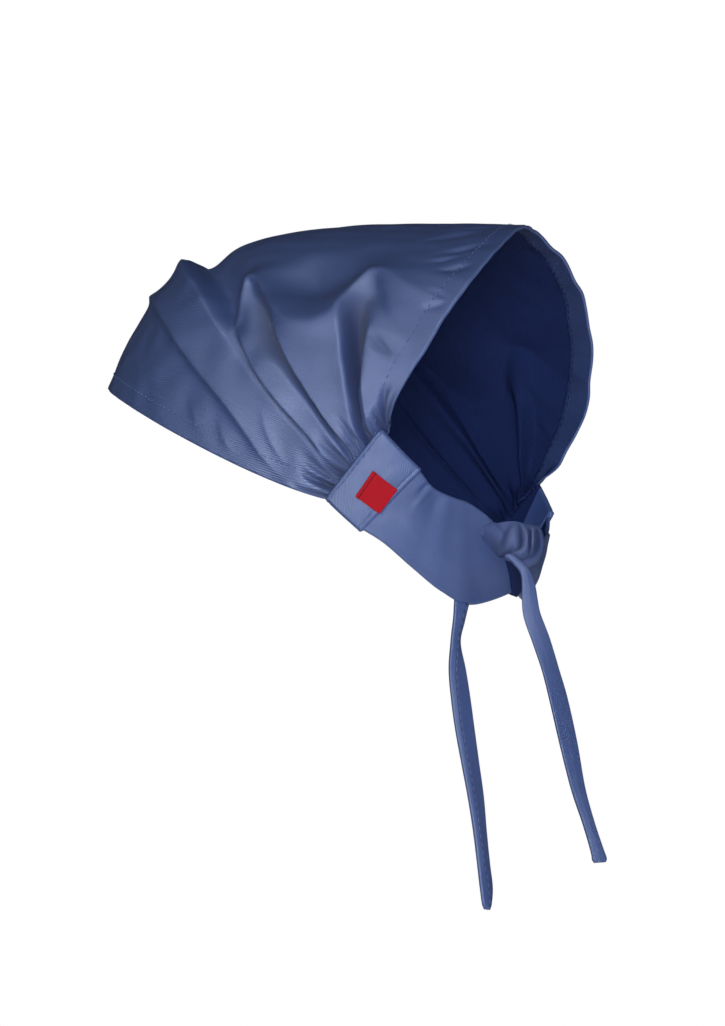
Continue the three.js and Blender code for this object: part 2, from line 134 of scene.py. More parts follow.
def through(places, values, at):
    """Smooth curve through values given at rising places."""
    last = len(places) - 1
    at = np.clip(np.asarray(at, float), places[0], places[last])
    before = np.maximum(np.arange(last + 1) - 1, 0)
    after = np.minimum(np.arange(last + 1) + 1, last)
    slope = (values[after] - values[before]) / (places[after] - places[before])
    i = np.clip(np.searchsorted(places, at, side="left") - 1, 0, last - 1)
    span = places[i + 1] - places[i]
    s = (at - places[i]) / span
    rise = s * s * (3 - 2 * s)
    start_pull = s * (1 - s) * (1 - s) * span * slope[i]
    end_pull = s * s * (s - 1) * span * slope[i + 1]
    return lerp(values[i], values[i + 1], rise) + start_pull + end_pull


def unit(vectors):
    return vectors / np.maximum(np.linalg.norm(vectors, axis=-1, keepdims=True), 1e-9)


def to_row(points):
    """Points in millimetres in the head's axes, as metres in the frame of the CAD model."""
    x, y, z = np.moveaxis(np.asarray(points, float) - SEAT, -1, 0)
    cos, sin = math.cos(FOREHEAD_RAISED), math.sin(FOREHEAD_RAISED)
    return np.stack([x, y * cos + z * sin, z * cos - y * sin], -1) * MM


def toward(azimuth, elevation):
    """Direction from which something is seen, from angles in degrees round from the front and up."""
    a, e = math.radians(azimuth), math.radians(elevation)
    return np.array([math.sin(a) * math.cos(e), -math.cos(a) * math.cos(e), math.sin(e)])


def link(name, data):
    piece = bpy.data.objects.new(name, data)
    bpy.context.scene.collection.objects.link(piece)
    return piece


def mesh_piece(name, points, faces, uv=None, slots=None):
    """A smooth-shaded object on the root body. uv holds cloth coordinates in metres, one for each point."""
    mesh = bpy.data.meshes.new(name)
    mesh.from_pydata(points.tolist(), [], faces.tolist() if hasattr(faces, "tolist") else faces)
    if uv is not None:
        corners = np.zeros(len(mesh.loops), np.int32)
        mesh.loops.foreach_get("vertex_index", corners)
        mesh.uv_layers.new(name="cloth").data.foreach_set("uv", uv[corners].astype(np.float32).ravel())
    if slots is not None:
        mesh.polygons.foreach_set("material_index", np.asarray(slots, np.int32))
    mesh.shade_smooth()
    mesh.update()
    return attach(link(name, mesh), "root")


# ---- Cloth walls and lofts ----

RIM_ROWS = 3


def grid_faces(rows, columns, first=0, flip=False):
    """Quads over a grid of points stored row by row."""
    i, j = np.meshgrid(np.arange(rows - 1), np.arange(columns - 1), indexing="ij")
    a = first + (i * columns + j).ravel()
    quads = np.stack([a, a + columns, a + columns + 1, a + 1], -1)
    return quads[:, ::-1] if flip else quads


def rim_order(rows, columns):
    """Indices of a grid's border in order round it, and of the point next to each inside the grid."""
    i = np.r_[np.arange(rows - 1), np.full(columns - 1, rows - 1), np.arange(rows - 1, 0, -1),
              np.zeros(columns - 1, int)]
    j = np.r_[np.zeros(rows - 1, int), np.arange(columns - 1), np.full(rows - 1, columns - 1),
              np.arange(columns - 1, 0, -1)]
    return i * columns + j, np.clip(i, 1, rows - 2) * columns + np.clip(j, 1, columns - 2)


def cloth_wall(name, outer, inner, uv, inside=None, edge=None):
    """A closed sheet with round edges from two grids of points and their places on the flat cloth, in
    millimetres. inside holds the material of each quad of the inner side, and edge that of the round edge
    at each point of the grid."""
    rows, columns = outer.shape[:2]
    front, back = to_row(outer).reshape(-1, 3), to_row(inner).reshape(-1, 3)
    border, neighbour = rim_order(rows, columns)
    middle = (front[border] + back[border]) / 2
    half = (front[border] - back[border]) / 2
    away = unit(middle - (front[neighbour] + back[neighbour]) / 2)
    away = unit(away - unit(half) * (away * unit(half)).sum(-1, keepdims=True))
    radius = np.linalg.norm(half, axis=-1, keepdims=True)
    turns = np.pi * (np.arange(RIM_ROWS) + 1) / (RIM_ROWS + 1)
    rims = [middle + half * math.cos(t) + away * radius * math.sin(t) for t in turns]
    points = np.concatenate([front, back, *rims])
    flat = uv.reshape(-1, 2) * MM
    cloth_uv = np.concatenate([flat, flat, *[flat[border]] * RIM_ROWS])
    size, around = rows * columns, len(border)
    loops = [border, *[2 * size + k * around + np.arange(around) for k in range(RIM_ROWS)], size + border]
    strips = [np.stack([np.roll(a, -1), a, b, np.roll(b, -1)], -1) for a, b in zip(loops, loops[1:])]
    shown, hidden = grid_faces(rows, columns), grid_faces(rows, columns, size, flip=True)
    faces = np.concatenate([shown, hidden, *strips])
    slots = np.zeros(len(faces), int)
    if inside is not None:
        slots[len(shown):len(shown) + len(hidden)] = inside.ravel()
    if edge is not None:
        slots[len(shown) + len(hidden):] = np.tile(edge.ravel()[border], len(strips))
    return turn_outward(mesh_piece(name, points, faces, cloth_uv, slots))


def shade_creases(piece, depth):
    """Writes the painted shade of creases, from their depth at the piece's first points, where 1 is the
    depth over which most of the light is lost."""
    shade = np.zeros(len(piece.data.vertices), np.float32)
    shade[:depth.size] = 1 - np.exp(-np.maximum(depth.ravel(), 0))
    piece.data.attributes.new("crease", "FLOAT", "POINT").data.foreach_set("value", shade)


def turn_outward(piece):
    """Makes a closed mesh's faces point out of it."""
    mesh = piece.data
    mesh.calc_loop_triangles()
    co = np.array([v.co for v in mesh.vertices], float)
    tri = np.array([t.vertices for t in mesh.loop_triangles], int)
    if (co[tri[:, 0]] * np.cross(co[tri[:, 1]], co[tri[:, 2]])).sum() < 0:
        mesh.flip_normals()
    return piece


def tube_faces(rings, sides):
    """Quads between rings of points stored ring by ring."""
    a = np.arange((rings - 1) * sides)
    b = a - a % sides + (a + 1) % sides
    return np.stack([a, b, b + sides, a + sides], -1).tolist()


def loft(name, rings, uv, slots=None):
    """A closed body through rings of points, with a fan over each end."""
    count, sides = rings.shape[:2]
    points = np.concatenate([rings.reshape(-1, 3), rings[0].mean(0)[None], rings[-1].mean(0)[None]])
    flat = uv.reshape(-1, 2)
    cloth_uv = np.concatenate([flat, flat[:1], flat[-1:]])
    ring, end = np.arange(sides), (count - 1) * sides
    after = np.roll(ring, -1)
    fan = lambda tip, a, b: np.stack([np.full(sides, tip), a, b], -1).tolist()
    fans = fan(len(points) - 2, after, ring) + fan(len(points) - 1, end + ring, end + after)
    return turn_outward(mesh_piece(name, points, tube_faces(count, sides) + fans, cloth_uv, slots))


# ---- Camera ----

CAMERA_AT = Vector((1.31254, 0.70566, -0.47500))
CAMERA_SEEN_FROM = (117.32, -13.0)
CAMERA_ROLL = math.radians(-4.94)
CAMERA_LENS = 116.96


def make_camera():
    data = bpy.data.cameras.new("camera")
    data.lens = CAMERA_LENS
    data.sensor_width = 36
    camera = link("camera", data)
    level = Vector(toward(*CAMERA_SEEN_FROM)).to_track_quat("Z", "Y").to_matrix().to_4x4()
    camera.matrix_world = Matrix.Translation(CAMERA_AT) @ level @ Matrix.Rotation(CAMERA_ROLL, 4, "Z")
    bpy.context.scene.camera = camera


make_camera()

# ---- Ties ----

# Routes in millimetres along the frame's own axes. facing is the angle from +X towards +Y, in degrees,
# to which the flat side is turned, width the share of the full width, and seam where across the tie,
# from its left edge (-1) to its right edge (1), its stitched seam runs.
TIE_COLUMNS = ("x", "y", "z", "facing", "width", "seam")
TIE_LEFT = table(TIE_COLUMNS, [
    (27.1, 86.3, -189.3, 72, 0.92, 0.4), (28, 84.7, -197, 76, 0.74, 0.2),
    (28.9, 82.6, -206, 82, 0.67, -0.1), (29.1, 82.2, -218, 66, 0.98, -0.36),
    (29, 82.5, -231, 58, 1.05, -0.46), (28.7, 83, -245, 60, 1.07, -0.5),
    (28.3, 83.9, -260, 66, 1.04, -0.5), (27.8, 84.8, -275, 72, 1.01, -0.48),
    (27.7, 85.2, -290, 74, 0.86, -0.46), (27.5, 85.4, -304, 76, 0.83, -0.32),
    (27.4, 85.6, -314, 80, 0.9, -0.15), (27.6, 85.2, -321, 86, 0.72, 0),
    (27.7, 85, -323.6, 88, 0.34, 0.1),
])
TIE_RIGHT = table(TIE_COLUMNS, [
    (16.6, 104.6, -170.3, 46, 0.14, 0), (16.3, 106.9, -171.2, 48, 0.3, 0),
    (15.6, 109.2, -173.8, 50, 0.38, 0), (14.7, 111.5, -177, 50, 0.46, 0),
    (14, 112.5, -180.6, 48, 0.56, 0), (13.2, 112.6, -185.6, 44, 0.7, 0), (12.8, 112.4, -191, 38, 0.78, 0),
    (12.5, 112.7, -198, 36, 0.85, 0), (11.3, 115.2, -209, 44, 0.9, 0), (9.9, 117.6, -222, 56, 0.92, 0),
    (8.9, 119.7, -236, 60, 1.03, 0), (7.9, 121.8, -255, 60, 1, 0), (6.9, 123.8, -275, 57, 0.76, 0),
    (5.5, 126.4, -290, 54, 0.62, 0), (4.4, 128.6, -302, 50, 0.66, 0), (4.1, 129.2, -306, 48, 0.74, 0),
    (4.1, 129.3, -307.6, 48, 0.6, 0),
])
TIE_RIDGE = {"tie_left": 0.9, "tie_right": 0.3}  # how far a tie is bent outwards along its seam
TIE_SIDES = {"outer": 44, "inner": 14}
TIE_RINGS_A_STATION = 8
TIE_SQUARENESS = 6  # how flat a tie is between its edges
TIE_GROOVE = {"tie_left": 0.30, "tie_right": 0.0}  # how far the stitches pull the seam in
TIE_GROOVE_WIDTH = 0.08  # as a share of the tie's half width
TIE_GROOVE_SHADE = 0.25  # depth in mm over which the painted shade of the groove deepens


def route(rows):
    """Centres, wide and thick directions, width share and seam place along a tie, in millimetres."""
    places = np.arange(len(rows["x"]), dtype=float)
    at = np.linspace(0, len(places) - 1, TIE_RINGS_A_STATION * (len(places) - 1) + 1)
    column = lambda key: through(places, rows[key], at)
    centres = np.stack([column(axis) for axis in "xyz"], -1)
    along = unit(np.gradient(centres, axis=0))
    facing = np.radians(column("facing"))
    flat = np.stack([np.cos(facing), np.sin(facing), np.zeros_like(facing)], -1)
    wide = unit(np.cross(flat, along))
    return centres, wide, np.cross(along, wide), column("width"), column("seam")


def make_tie(name, rows):
    centres, wide, thick, share, seam = route(rows)
    turn = np.concatenate([np.linspace(-np.pi / 2, np.pi / 2, TIE_SIDES["outer"] + 1),
                           np.linspace(np.pi / 2, 3 * np.pi / 2, TIE_SIDES["inner"] + 1)[1:-1]])
    across = np.sin(turn)
    half = TIE_THICKNESS / 2 * (1 - np.abs(across) ** TIE_SQUARENESS) ** (1 / TIE_SQUARENESS)
    depth = np.where(np.cos(turn) > 0, half, -half)
    from_seam = across - seam[:, None]
    groove = TIE_GROOVE[name] * bell(from_seam, TIE_GROOVE_WIDTH)
    bent = TIE_RIDGE[name] * (1 - np.abs(from_seam) / (1 - np.sign(from_seam) * seam[:, None]))
    raised = depth + bent - groove
    offset = (TIE_WIDTH / 2 * across[None, :, None] * wide[:, None] * share[:, None, None]
              + raised[..., None] * thick[:, None])
    rings = (centres[:, None] + offset) * MM
    run = np.cumsum(np.r_[0, np.linalg.norm(np.diff(centres, axis=0), axis=1)]) * MM
    uv = np.stack(np.broadcast_arrays(run[:, None], (TIE_WIDTH / 2 * across * MM)[None]), -1)
    piece = loft(name + "_cloth", rings, uv)
    shade_creases(piece, groove / TIE_GROOVE_SHADE)
    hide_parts(name)
    return piece


def tie_seam(name, rows):
    """The seam's line on the outer side of a tie, and the direction out of it."""
    centres, wide, thick, share, seam = route(rows)
    out = TIE_THICKNESS / 2 + TIE_RIDGE[name] - TIE_GROOVE[name]
    return centres + wide * (TIE_WIDTH / 2 * seam * share)[:, None] + thick * out, thick


ties = [make_tie("tie_left", TIE_LEFT), make_tie("tie_right", TIE_RIGHT)]

# ---- Crown: the smooth shape ----

# The middle line from front hem (at 0) to rear hem (at 1). flare widens the arch over the ears, bow
# pushes its shoulders backward.
MIDDLE_LINE = table(("at", "y", "z", "flare", "bow"), [
    (0, -178.5, -11.5, 0.06, 0),
    (0.12, -177, 14, 0.06, 0),
    (0.24, -169.5, 39, 0.08, 0),
    (0.36, -152.5, 61, 0.1, 0),
    (0.5, -123, 82.5, 0.13, 0),
    (0.64, -87, 98.5, 0.17, 0),
    (0.78, -52, 110.5, 0.21, 1.5),
    (0.9, -23, 119.5, 0.235, 4.5),
    (1, -1.5, 125.5, 0.25, 10),
])
ARCH_FULLNESS = 0.6
FRONT_HEM_SAG = 4.0
FRONT_HEM_SAG_LEAN = 0.6
FRONT_HEM_SAG_FADE = 3
SEAM_FLATNESS = 0.12  # way from the seam over which the cloth no longer faces straight sideways
SLOPE_STEP = 0.001  # way and back over which slopes are taken
NEAREST_THE_SEAM = 0.02  # way at which the slope at the seam is taken
ARC_SAMPLES = 25
SIDE_LENGTH = 215.0  # from the gathered seam to the middle line, along the cloth


def smooth_crown(way, back, side):
    """way runs from a gathered seam (0) to the middle line (1), back from front hem to rear hem."""
    turn = way * np.pi / 2
    rise = np.sin(turn)
    column = lambda name: through(MIDDLE_LINE["at"], MIDDLE_LINE[name], back)
    sag_place = np.sin(np.pi * np.abs(rise) ** FRONT_HEM_SAG_LEAN)
    sag = FRONT_HEM_SAG * sag_place * (1 - back) ** FRONT_HEM_SAG_FADE
    seam_y, seam_z = (lerp(SEAM_BOTTOM[k], SEAM_TOP[k], back) for k in range(2))
    flare = 1 + column("flare") * np.maximum(np.sin(2 * turn), 0) ** ARCH_FULLNESS
    return np.stack([
        side * HALF_BREADTH * np.cos(turn) * flare,
        lerp(seam_y, column("y"), rise) + column("bow") * np.sin(np.pi * rise),
        lerp(seam_z, column("z"), rise) - sag,
    ], -1)


def crown_outward(way, back, side):
    place = np.clip(way, NEAREST_THE_SEAM, 1 - SLOPE_STEP)
    across = smooth_crown(place + SLOPE_STEP, back, side) - smooth_crown(place - SLOPE_STEP, back, side)
    ahead, behind = np.minimum(back + SLOPE_STEP, 1), np.maximum(back - SLOPE_STEP, 0)
    along = smooth_crown(place, ahead, side) - smooth_crown(place, behind, side)
    square = unit(np.cross(along, across) * side[..., None])
    out = np.stack([side, np.zeros_like(side), np.zeros_like(side)], -1)
    return unit(lerp(out, square, smoothstep(way, 0, SEAM_FLATNESS)[..., None]))


def hem_to_hem(way):
    """Length from front hem to rear hem along the smooth crown."""
    back = np.linspace(0, 1, ARC_SAMPLES)
    points = smooth_crown(np.asarray(way)[..., None], back, 1.0)
    return np.linalg.norm(np.diff(points, axis=-2), axis=-1).sum(-1)


# ---- Crown: folds ----

# Folds are paths over the flat cloth. over runs from the left seam (0) across the middle line (1) to
# the right seam (2), back from the front hem (0) to the rear hem (1). high is the height of the crest,
# or the depth of a valley where it is below 0; left and right are how far the cloth takes to fall off
# on the two sides of a traveller along the path, in millimetres.
FOLD_TIP = 0.15  # how round a fold is at its crest or foot, as a share of its width
# Over how much difference in distance, in mm, neighbouring stretches of a path flow together.
FOLD_BLEND = 1.6
CREASE_BLEND = 0.5
RIDGE_POWER = 1.1
CREASE_POWER = 2.0
PATH_SAMPLES = 14
PATH_REACH = 3  # how many times its width a fold still raises the cloth
POINTS_AT_ONCE = 4000

FRONT_STEP = [
    (0.07, 0, 0, 3, 8), (0.13, 0.07, 1.4, 2.2, 10), (0.25, 0.172, 2.6, 2, 13), (0.42, 0.213, 3.2, 2, 15),
    (0.6, 0.232, 3.4, 2.2, 14), (0.8, 0.222, 3.4, 2.6, 10), (1, 0.208, 3.4, 3, 9),
    (1.25, 0.205, 2.8, 3, 10), (1.5, 0.19, 2.4, 3, 12), (1.75, 0.14, 1.6, 3, 12), (1.9, 0.05, 0.4, 3, 8),
]
BROW_RIDGE = [
    (0.34, 0.335, 0, 12, 3), (0.42, 0.342, 2.4, 14, 3.4), (0.55, 0.35, 5, 13, 3.8),
    (0.7, 0.334, 6.2, 9, 4.5), (0.85, 0.32, 6.8, 6, 4.8), (1, 0.316, 7, 4.2, 4), (1.2, 0.314, 5.8, 6, 6),
    (1.45, 0.33, 4.4, 10, 6), (1.7, 0.335, 3, 10, 4), (1.94, 0.3, 0.6, 5, 3),
]
BROW_VALLEY = [
    (0.34, 0.352, 0, 2, 3), (0.4, 0.377, -2.8, 3, 5), (0.46, 0.392, -6, 4, 8), (0.54, 0.398, -7.5, 5, 11),
    (0.64, 0.39, -6.8, 5, 12), (0.8, 0.364, -5, 5, 11), (1, 0.34, -4.4, 4, 9), (1.2, 0.352, -3, 5, 8),
    (1.45, 0.38, -1.5, 5, 6), (1.6, 0.385, 0, 5, 5),
]
LOWER_BROW_EDGE = [
    (0.03, 0.3, 0.5, 1.5, 4), (0.08, 0.334, 1.6, 1.6, 5), (0.13, 0.354, 2.6, 1.8, 8),
    (0.2, 0.36, 3.4, 1.9, 11), (0.28, 0.37, 3.6, 2, 12), (0.35, 0.375, 3, 2.4, 10),
    (0.4, 0.387, 1, 2.4, 6), (0.42, 0.4, 0, 2.4, 6),
]
# One line from the foot of the brow valley over the two finger-like peaks and the sag between them.
SHOULDER_EDGE = [
    (0.385, 0.36, 0, 3, 4), (0.425, 0.4, 3.4, 3, 4), (0.475, 0.435, 5.2, 3.5, 4), (0.52, 0.465, 6, 5, 4),
    (0.5, 0.49, 6, 9, 3), (0.435, 0.503, 6.4, 14, 3.5), (0.37, 0.526, 7.4, 18, 6),
    (0.325, 0.562, 8.4, 22, 12), (0.306, 0.61, 9, 24, 20), (0.304, 0.655, 8.6, 24, 20),
    (0.325, 0.698, 7.6, 18, 12), (0.38, 0.727, 6.6, 12, 6), (0.43, 0.748, 6.2, 8, 5),
    (0.462, 0.772, 6.4, 8, 7), (0.455, 0.805, 6, 12, 14), (0.42, 0.845, 5.2, 15, 20),
    (0.385, 0.89, 4.2, 18, 22), (0.35, 0.94, 2.6, 18, 22), (0.33, 1, 1, 18, 22),
]
SAG_BETWEEN = [
    (0.54, 0.5, 0, 18, 14), (0.48, 0.56, -2.8, 20, 14), (0.455, 0.63, -4, 22, 15),
    (0.48, 0.7, -3, 20, 14), (0.54, 0.745, 0, 18, 12),
]
FIRST_CREASE = [
    (0.02, 0.5, -1.5, 1, 0.8), (0.07, 0.5, -4, 1.6, 0.9), (0.13, 0.497, -6.5, 2, 0.9),
    (0.19, 0.491, -5.5, 2.6, 1), (0.25, 0.488, -5, 4, 1.1), (0.31, 0.486, -5.5, 6.5, 1.2),
    (0.37, 0.486, -4.5, 6.5, 1.4), (0.42, 0.48, -2.5, 4.5, 1.6), (0.47, 0.47, 0, 3, 2),
]
FACET_LEFT_EDGE = [
    (0.02, 0.535, 0.6, 1.2, 5), (0.1, 0.527, 2.4, 1.4, 9), (0.2, 0.518, 3.2, 1.6, 14),
    (0.3, 0.517, 3, 1.8, 16), (0.37, 0.513, 2, 2.2, 14), (0.43, 0.507, 0, 3.5, 10),
]
BROW_CREASE = [
    (0.05, 0.31, 0, 1.2, 1), (0.1, 0.336, -1.8, 1.6, 1), (0.17, 0.348, -3, 2, 1),
    (0.24, 0.356, -3, 2.4, 1), (0.32, 0.362, -2.2, 2.4, 1.2), (0.38, 0.366, 0, 2, 1.4),
]
SECOND_VALLEY = [
    (0.005, 0.715, -2, 1.2, 1.4), (0.06, 0.713, -5, 1.3, 1.4), (0.12, 0.719, -7.5, 1.3, 1.6),
    (0.18, 0.731, -9, 1.4, 3), (0.25, 0.74, -9, 1.5, 4), (0.31, 0.747, -6.5, 2.2, 4),
    (0.36, 0.755, -3, 4, 4), (0.41, 0.768, 0, 4, 5),
]
SECOND_LIP = [
    (0.05, 0.7, 0.6, 5, 1.2), (0.12, 0.708, 1.8, 8, 1.3), (0.2, 0.717, 2.6, 11, 1.4),
    (0.28, 0.727, 2.2, 11, 1.6), (0.34, 0.74, 1, 9, 2), (0.39, 0.755, 0, 8, 2.5),
]
SECOND_VALLEY_EDGE = [
    (0.03, 0.78, 0.8, 1.4, 4), (0.1, 0.78, 2, 1.6, 8), (0.18, 0.788, 2.4, 2, 11), (0.26, 0.8, 2, 2.8, 12),
    (0.34, 0.815, 0, 5, 12),
]
HOOK = [
    (0.27, 0.8, 0, 2, 3), (0.25, 0.824, -1.6, 2, 3), (0.225, 0.85, -2, 2, 3.5),
    (0.205, 0.875, -1.2, 2.5, 3), (0.195, 0.895, 0, 3, 3),
]
REAR_WRINKLES = [
    [(0.4, 0.925, 0, 1.2, 2), (0.385, 0.955, -1.2, 1.2, 2), (0.375, 0.985, 0, 1.2, 2)],
    [(0.33, 0.93, 0, 1.2, 2), (0.345, 0.96, -1, 1.2, 2), (0.365, 0.99, 0, 1.2, 2)],
    [(0.47, 0.91, 0, 1.2, 3), (0.49, 0.945, -1.2, 1.3, 2.4), (0.52, 0.98, 0, 1.2, 3)],
    [(0.51, 0.88, 0, 1.2, 3), (0.53, 0.915, -1, 1.4, 2.6), (0.57, 0.95, 0, 1.2, 3)],
    [(0.55, 0.88, 0, 1.5, 4), (0.585, 0.93, -1.3, 1.6, 3), (0.64, 0.975, 0, 1.5, 4)],
    [(0.62, 0.83, 0, 2, 5), (0.68, 0.89, -1.1, 2.2, 4), (0.76, 0.95, 0, 2, 5)],
    [(0.72, 0.88, 0, 1.5, 4), (0.76, 0.92, -0.9, 1.8, 3), (0.82, 0.96, 0, 1.5, 4)],
]
FRONT_WRINKLES = [
    [(0.3, 0.045, 0, 2, 3), (0.325, 0.075, 0.7, 2, 3.5), (0.36, 0.11, 0, 2, 3)],
    [(0.2, 0.03, 0, 2, 4), (0.235, 0.06, 0.9, 2, 4.5), (0.27, 0.12, 0, 2, 4)],
    [(0.55, 0.06, 0, 2, 4), (0.52, 0.1, 0.5, 2.5, 4), (0.47, 0.15, 0, 2, 4)],
    [(0.1, 0.12, 0, 2, 3), (0.13, 0.15, 1.3, 2, 4), (0.17, 0.21, 1, 2.5, 5), (0.2, 0.26, 0, 2, 4)],
]
# Lips: where a fold's edge is pushed sideways over the crease beside it. high is the push to the right.
LEFT_LIPS = [
    [(0.04, 0.69, 0, 3, 0.8), (0.1, 0.692, 0.6, 3, 0.9), (0.18, 0.708, 1.2, 4, 1),
     (0.26, 0.722, 1, 4, 1.2), (0.34, 0.735, 0, 4, 1.5)],
    [(0.04, 0.531, 0, 0.8, 3), (0.1, 0.523, -1.4, 0.9, 4), (0.2, 0.514, -2, 1, 5),
     (0.3, 0.513, -1.8, 1.2, 6), (0.38, 0.51, 0, 1.5, 6)],
    [(0.06, 0.325, 0, 0.8, 3), (0.13, 0.35, -1.6, 0.9, 4), (0.2, 0.357, -2.2, 1, 5),
     (0.28, 0.367, -2, 1.2, 6), (0.36, 0.372, 0, 1.5, 6)],
]
LEFT_FOLDS = [LOWER_BROW_EDGE, SHOULDER_EDGE, SAG_BETWEEN, FACET_LEFT_EDGE, SECOND_LIP, SECOND_VALLEY_EDGE,
              *REAR_WRINKLES, *FRONT_WRINKLES]
LEFT_CREASES = [BROW_CREASE, FIRST_CREASE, SECOND_VALLEY, HOOK]
# The right side carries the same kinds of folds, a little lower on the head and less deep.
RIGHT_LIKENESS = {"over": 0.94, "back": 0.012, "high": 0.8}
GATHERS = {"count": 18, "scatter": 0.3, "shortest": 0.04, "longest": 0.13, "mostly_short": 1.5,
           "bend": 0.03, "depth": 3.6, "depth_spread": (0.6, 1.2), "narrow": 0.8, "wide": 1.5, "seed": 11}
# A gather's stations: share of its reach, of its bend and of its depth, and how much wider it has become.
GATHER_STATIONS = [(0, 0, 1, 1), (1 / 3, 0.5, 1, 1.2), (2 / 3, 1, 0.5, 1.5), (1, 0, 0, 2)]
SEAM_PUFF = {"height": 1.6, "at": 0.055, "width": 0.045}


def flat_place(over, back):
    """Where a point of the crown lies on the flat cloth: across the head and along the side, in mm."""
    way = 1 - np.abs(1 - over)
    return np.stack([(back - 0.5) * hem_to_hem(way), (over - 1) * SIDE_LENGTH], -1)


def along_fold(rows, cloth, to_flat=flat_place, blend=FOLD_BLEND):
    """What one fold adds at points of the flat cloth, and the way across the fold there, to its right."""
    columns = np.array(rows, float)
    stations = np.arange(len(columns), dtype=float)
    at = np.linspace(0, len(columns) - 1, PATH_SAMPLES * (len(columns) - 1) + 1)
    first, second, high, left, right = (through(stations, columns[:, k], at) for k in range(5))
    path = to_flat(first, second)
    ahead = unit(np.gradient(path, axis=0))
    to_right = np.stack([ahead[:, 1], -ahead[:, 0]], -1)
    spacing = np.linalg.norm(np.diff(path, axis=0), axis=-1).max()
    power = CREASE_POWER if high.sum() < 0 else RIDGE_POWER
    reach = PATH_REACH * max(left.max(), right.max())
    near = np.argwhere(np.all((cloth > path.min(0) - reach) & (cloth < path.max(0) + reach), axis=-1))
    added, across = np.zeros(cloth.shape[:-1]), np.zeros(cloth.shape)
    for part in np.array_split(near, max(len(near) // POINTS_AT_ONCE, 1)):
        place = tuple(part.T)
        offset = cloth[place][:, None] - path
        along = np.clip((offset * ahead).sum(-1), -spacing, spacing)
        offset = offset - along[..., None] * ahead
        distance = np.linalg.norm(offset, axis=-1)
        weight = np.exp((distance.min(1)[:, None] - distance) / blend)
        weight /= weight.sum(1)[:, None]
        width = np.where((offset * to_right).sum(-1) < 0, left, right)
        rounded = np.sqrt((distance / width) ** 2 + FOLD_TIP ** 2) - FOLD_TIP
        added[place] = (weight * high * np.exp(-rounded ** power)).sum(1)
        across[place] = weight @ to_right
    return added, across


def fold_relief(rows, cloth, to_flat=flat_place, blend=FOLD_BLEND):
    return along_fold(rows, cloth, to_flat, blend)[0]


def fold_push(rows, cloth):
    added, across = along_fold(rows, cloth)
    return across * added[..., None]


def mirrored(rows):
    """The same fold on the right side, a little changed. The rows are reversed, so left stays left."""
    like = RIGHT_LIKENESS
    return [(2 - over * like["over"], back + like["back"], high * like["high"], left, right)
            for over, back, high, left, right in reversed(rows)]


def gathers(on_right):
    """Narrow creases of uneven length that run up from a gathered seam."""
    random = np.random.default_rng(GATHERS["seed"] + on_right)
    folds = []
    for k in range(GATHERS["count"]):
        start = (k + 0.5 + random.uniform(-GATHERS["scatter"], GATHERS["scatter"])) / GATHERS["count"]
        reach = lerp(GATHERS["shortest"], GATHERS["longest"], random.uniform() ** GATHERS["mostly_short"])
        deep = GATHERS["depth"] * random.uniform(*GATHERS["depth_spread"])
        width = lerp(GATHERS["narrow"], GATHERS["wide"], random.uniform())
        bend = random.uniform(-GATHERS["bend"], GATHERS["bend"])
        rows = [(reach * along, start + bend * bent, -deep * depth, width, width * wider)
                for along, bent, depth, wider in GATHER_STATIONS]
        folds.append([(2 - row[0], *row[1:]) for row in reversed(rows)] if on_right else rows)
    return folds


RUMPLE = {"waves": 14, "shortest": 16.0, "longest": 60.0, "height": 0.22, "seed": 5}


def rumple(cloth):
    """Slight unevenness of the whole cloth, in mm."""
    random = np.random.default_rng(RUMPLE["seed"])
    height = np.zeros(cloth.shape[:-1])
    for _ in range(RUMPLE["waves"]):
        heading = random.uniform(0, 2 * np.pi)
        pitch = random.uniform(RUMPLE["shortest"], RUMPLE["longest"])
        phase = random.uniform(0, 2 * np.pi)
        distance = cloth[..., 0] * math.cos(heading) + cloth[..., 1] * math.sin(heading)
        wave = np.sin(2 * np.pi * distance / pitch + phase)
        height += RUMPLE["height"] * wave / math.sqrt(RUMPLE["waves"])
    return height


def both_sides(folds):
    return folds + [mirrored(fold) for fold in folds]


def crown_height(cloth):
    """Height over the smooth crown, and how deep in a crease a point lies, in mm."""
    folds = [FRONT_STEP, BROW_RIDGE, BROW_VALLEY, *both_sides(LEFT_FOLDS)]
    creases = [*both_sides(LEFT_CREASES), *gathers(False), *gathers(True)]
    from_seam = 1 - np.abs(cloth[..., 1]) / SIDE_LENGTH
    puff = SEAM_PUFF["height"] * bell(from_seam - SEAM_PUFF["at"], SEAM_PUFF["width"])
    depth = -sum(fold_relief(crease, cloth, blend=CREASE_BLEND) for crease in creases)
    return rumple(cloth) + puff + sum(fold_relief(fold, cloth) for fold in folds) - depth, depth


# ---- Crown: the rear hem's own line, and the cloth ----

# How far the rear hem stands behind the smooth shape, in mm, from the left seam to the right seam.
REAR_HEM = table(("over", "reach"), [
    (0, 3.5), (0.1, 3.2), (0.2, 4.6), (0.3, 6), (0.4, 7.8), (0.5, 8.9), (0.6, 9.3), (0.7, 8.2),
    (0.8, 5.6), (0.9, 2.2), (1, -0.9), (1.1, -1.6), (1.2, -0.4), (1.35, 0.6), (1.45, -0.6), (1.55, -1.6),
    (1.65, -2.8), (1.8, -1.8), (1.9, -3), (2, -1),
])
REAR_HEM_START = 0.55  # where between the hems the cloth starts to follow the rear hem's line
# The hidden half of the rear hem has waves, which start at the middle line.
HEM_WAVES = {"pitch": 37.0, "height": 0.8, "reach": 14.0, "full_at": 1.2}

CROWN_CROWDING = 0.85  # below 1 the rows of points crowd together towards the gathered seams
RIGHT_SEAM = 1.999  # the right seam itself, whose round edge lies in the shade of the cuff and gets the painted shade material
CREASE_SHADE = 3.2  # depth in mm over which the painted shade of a crease deepens
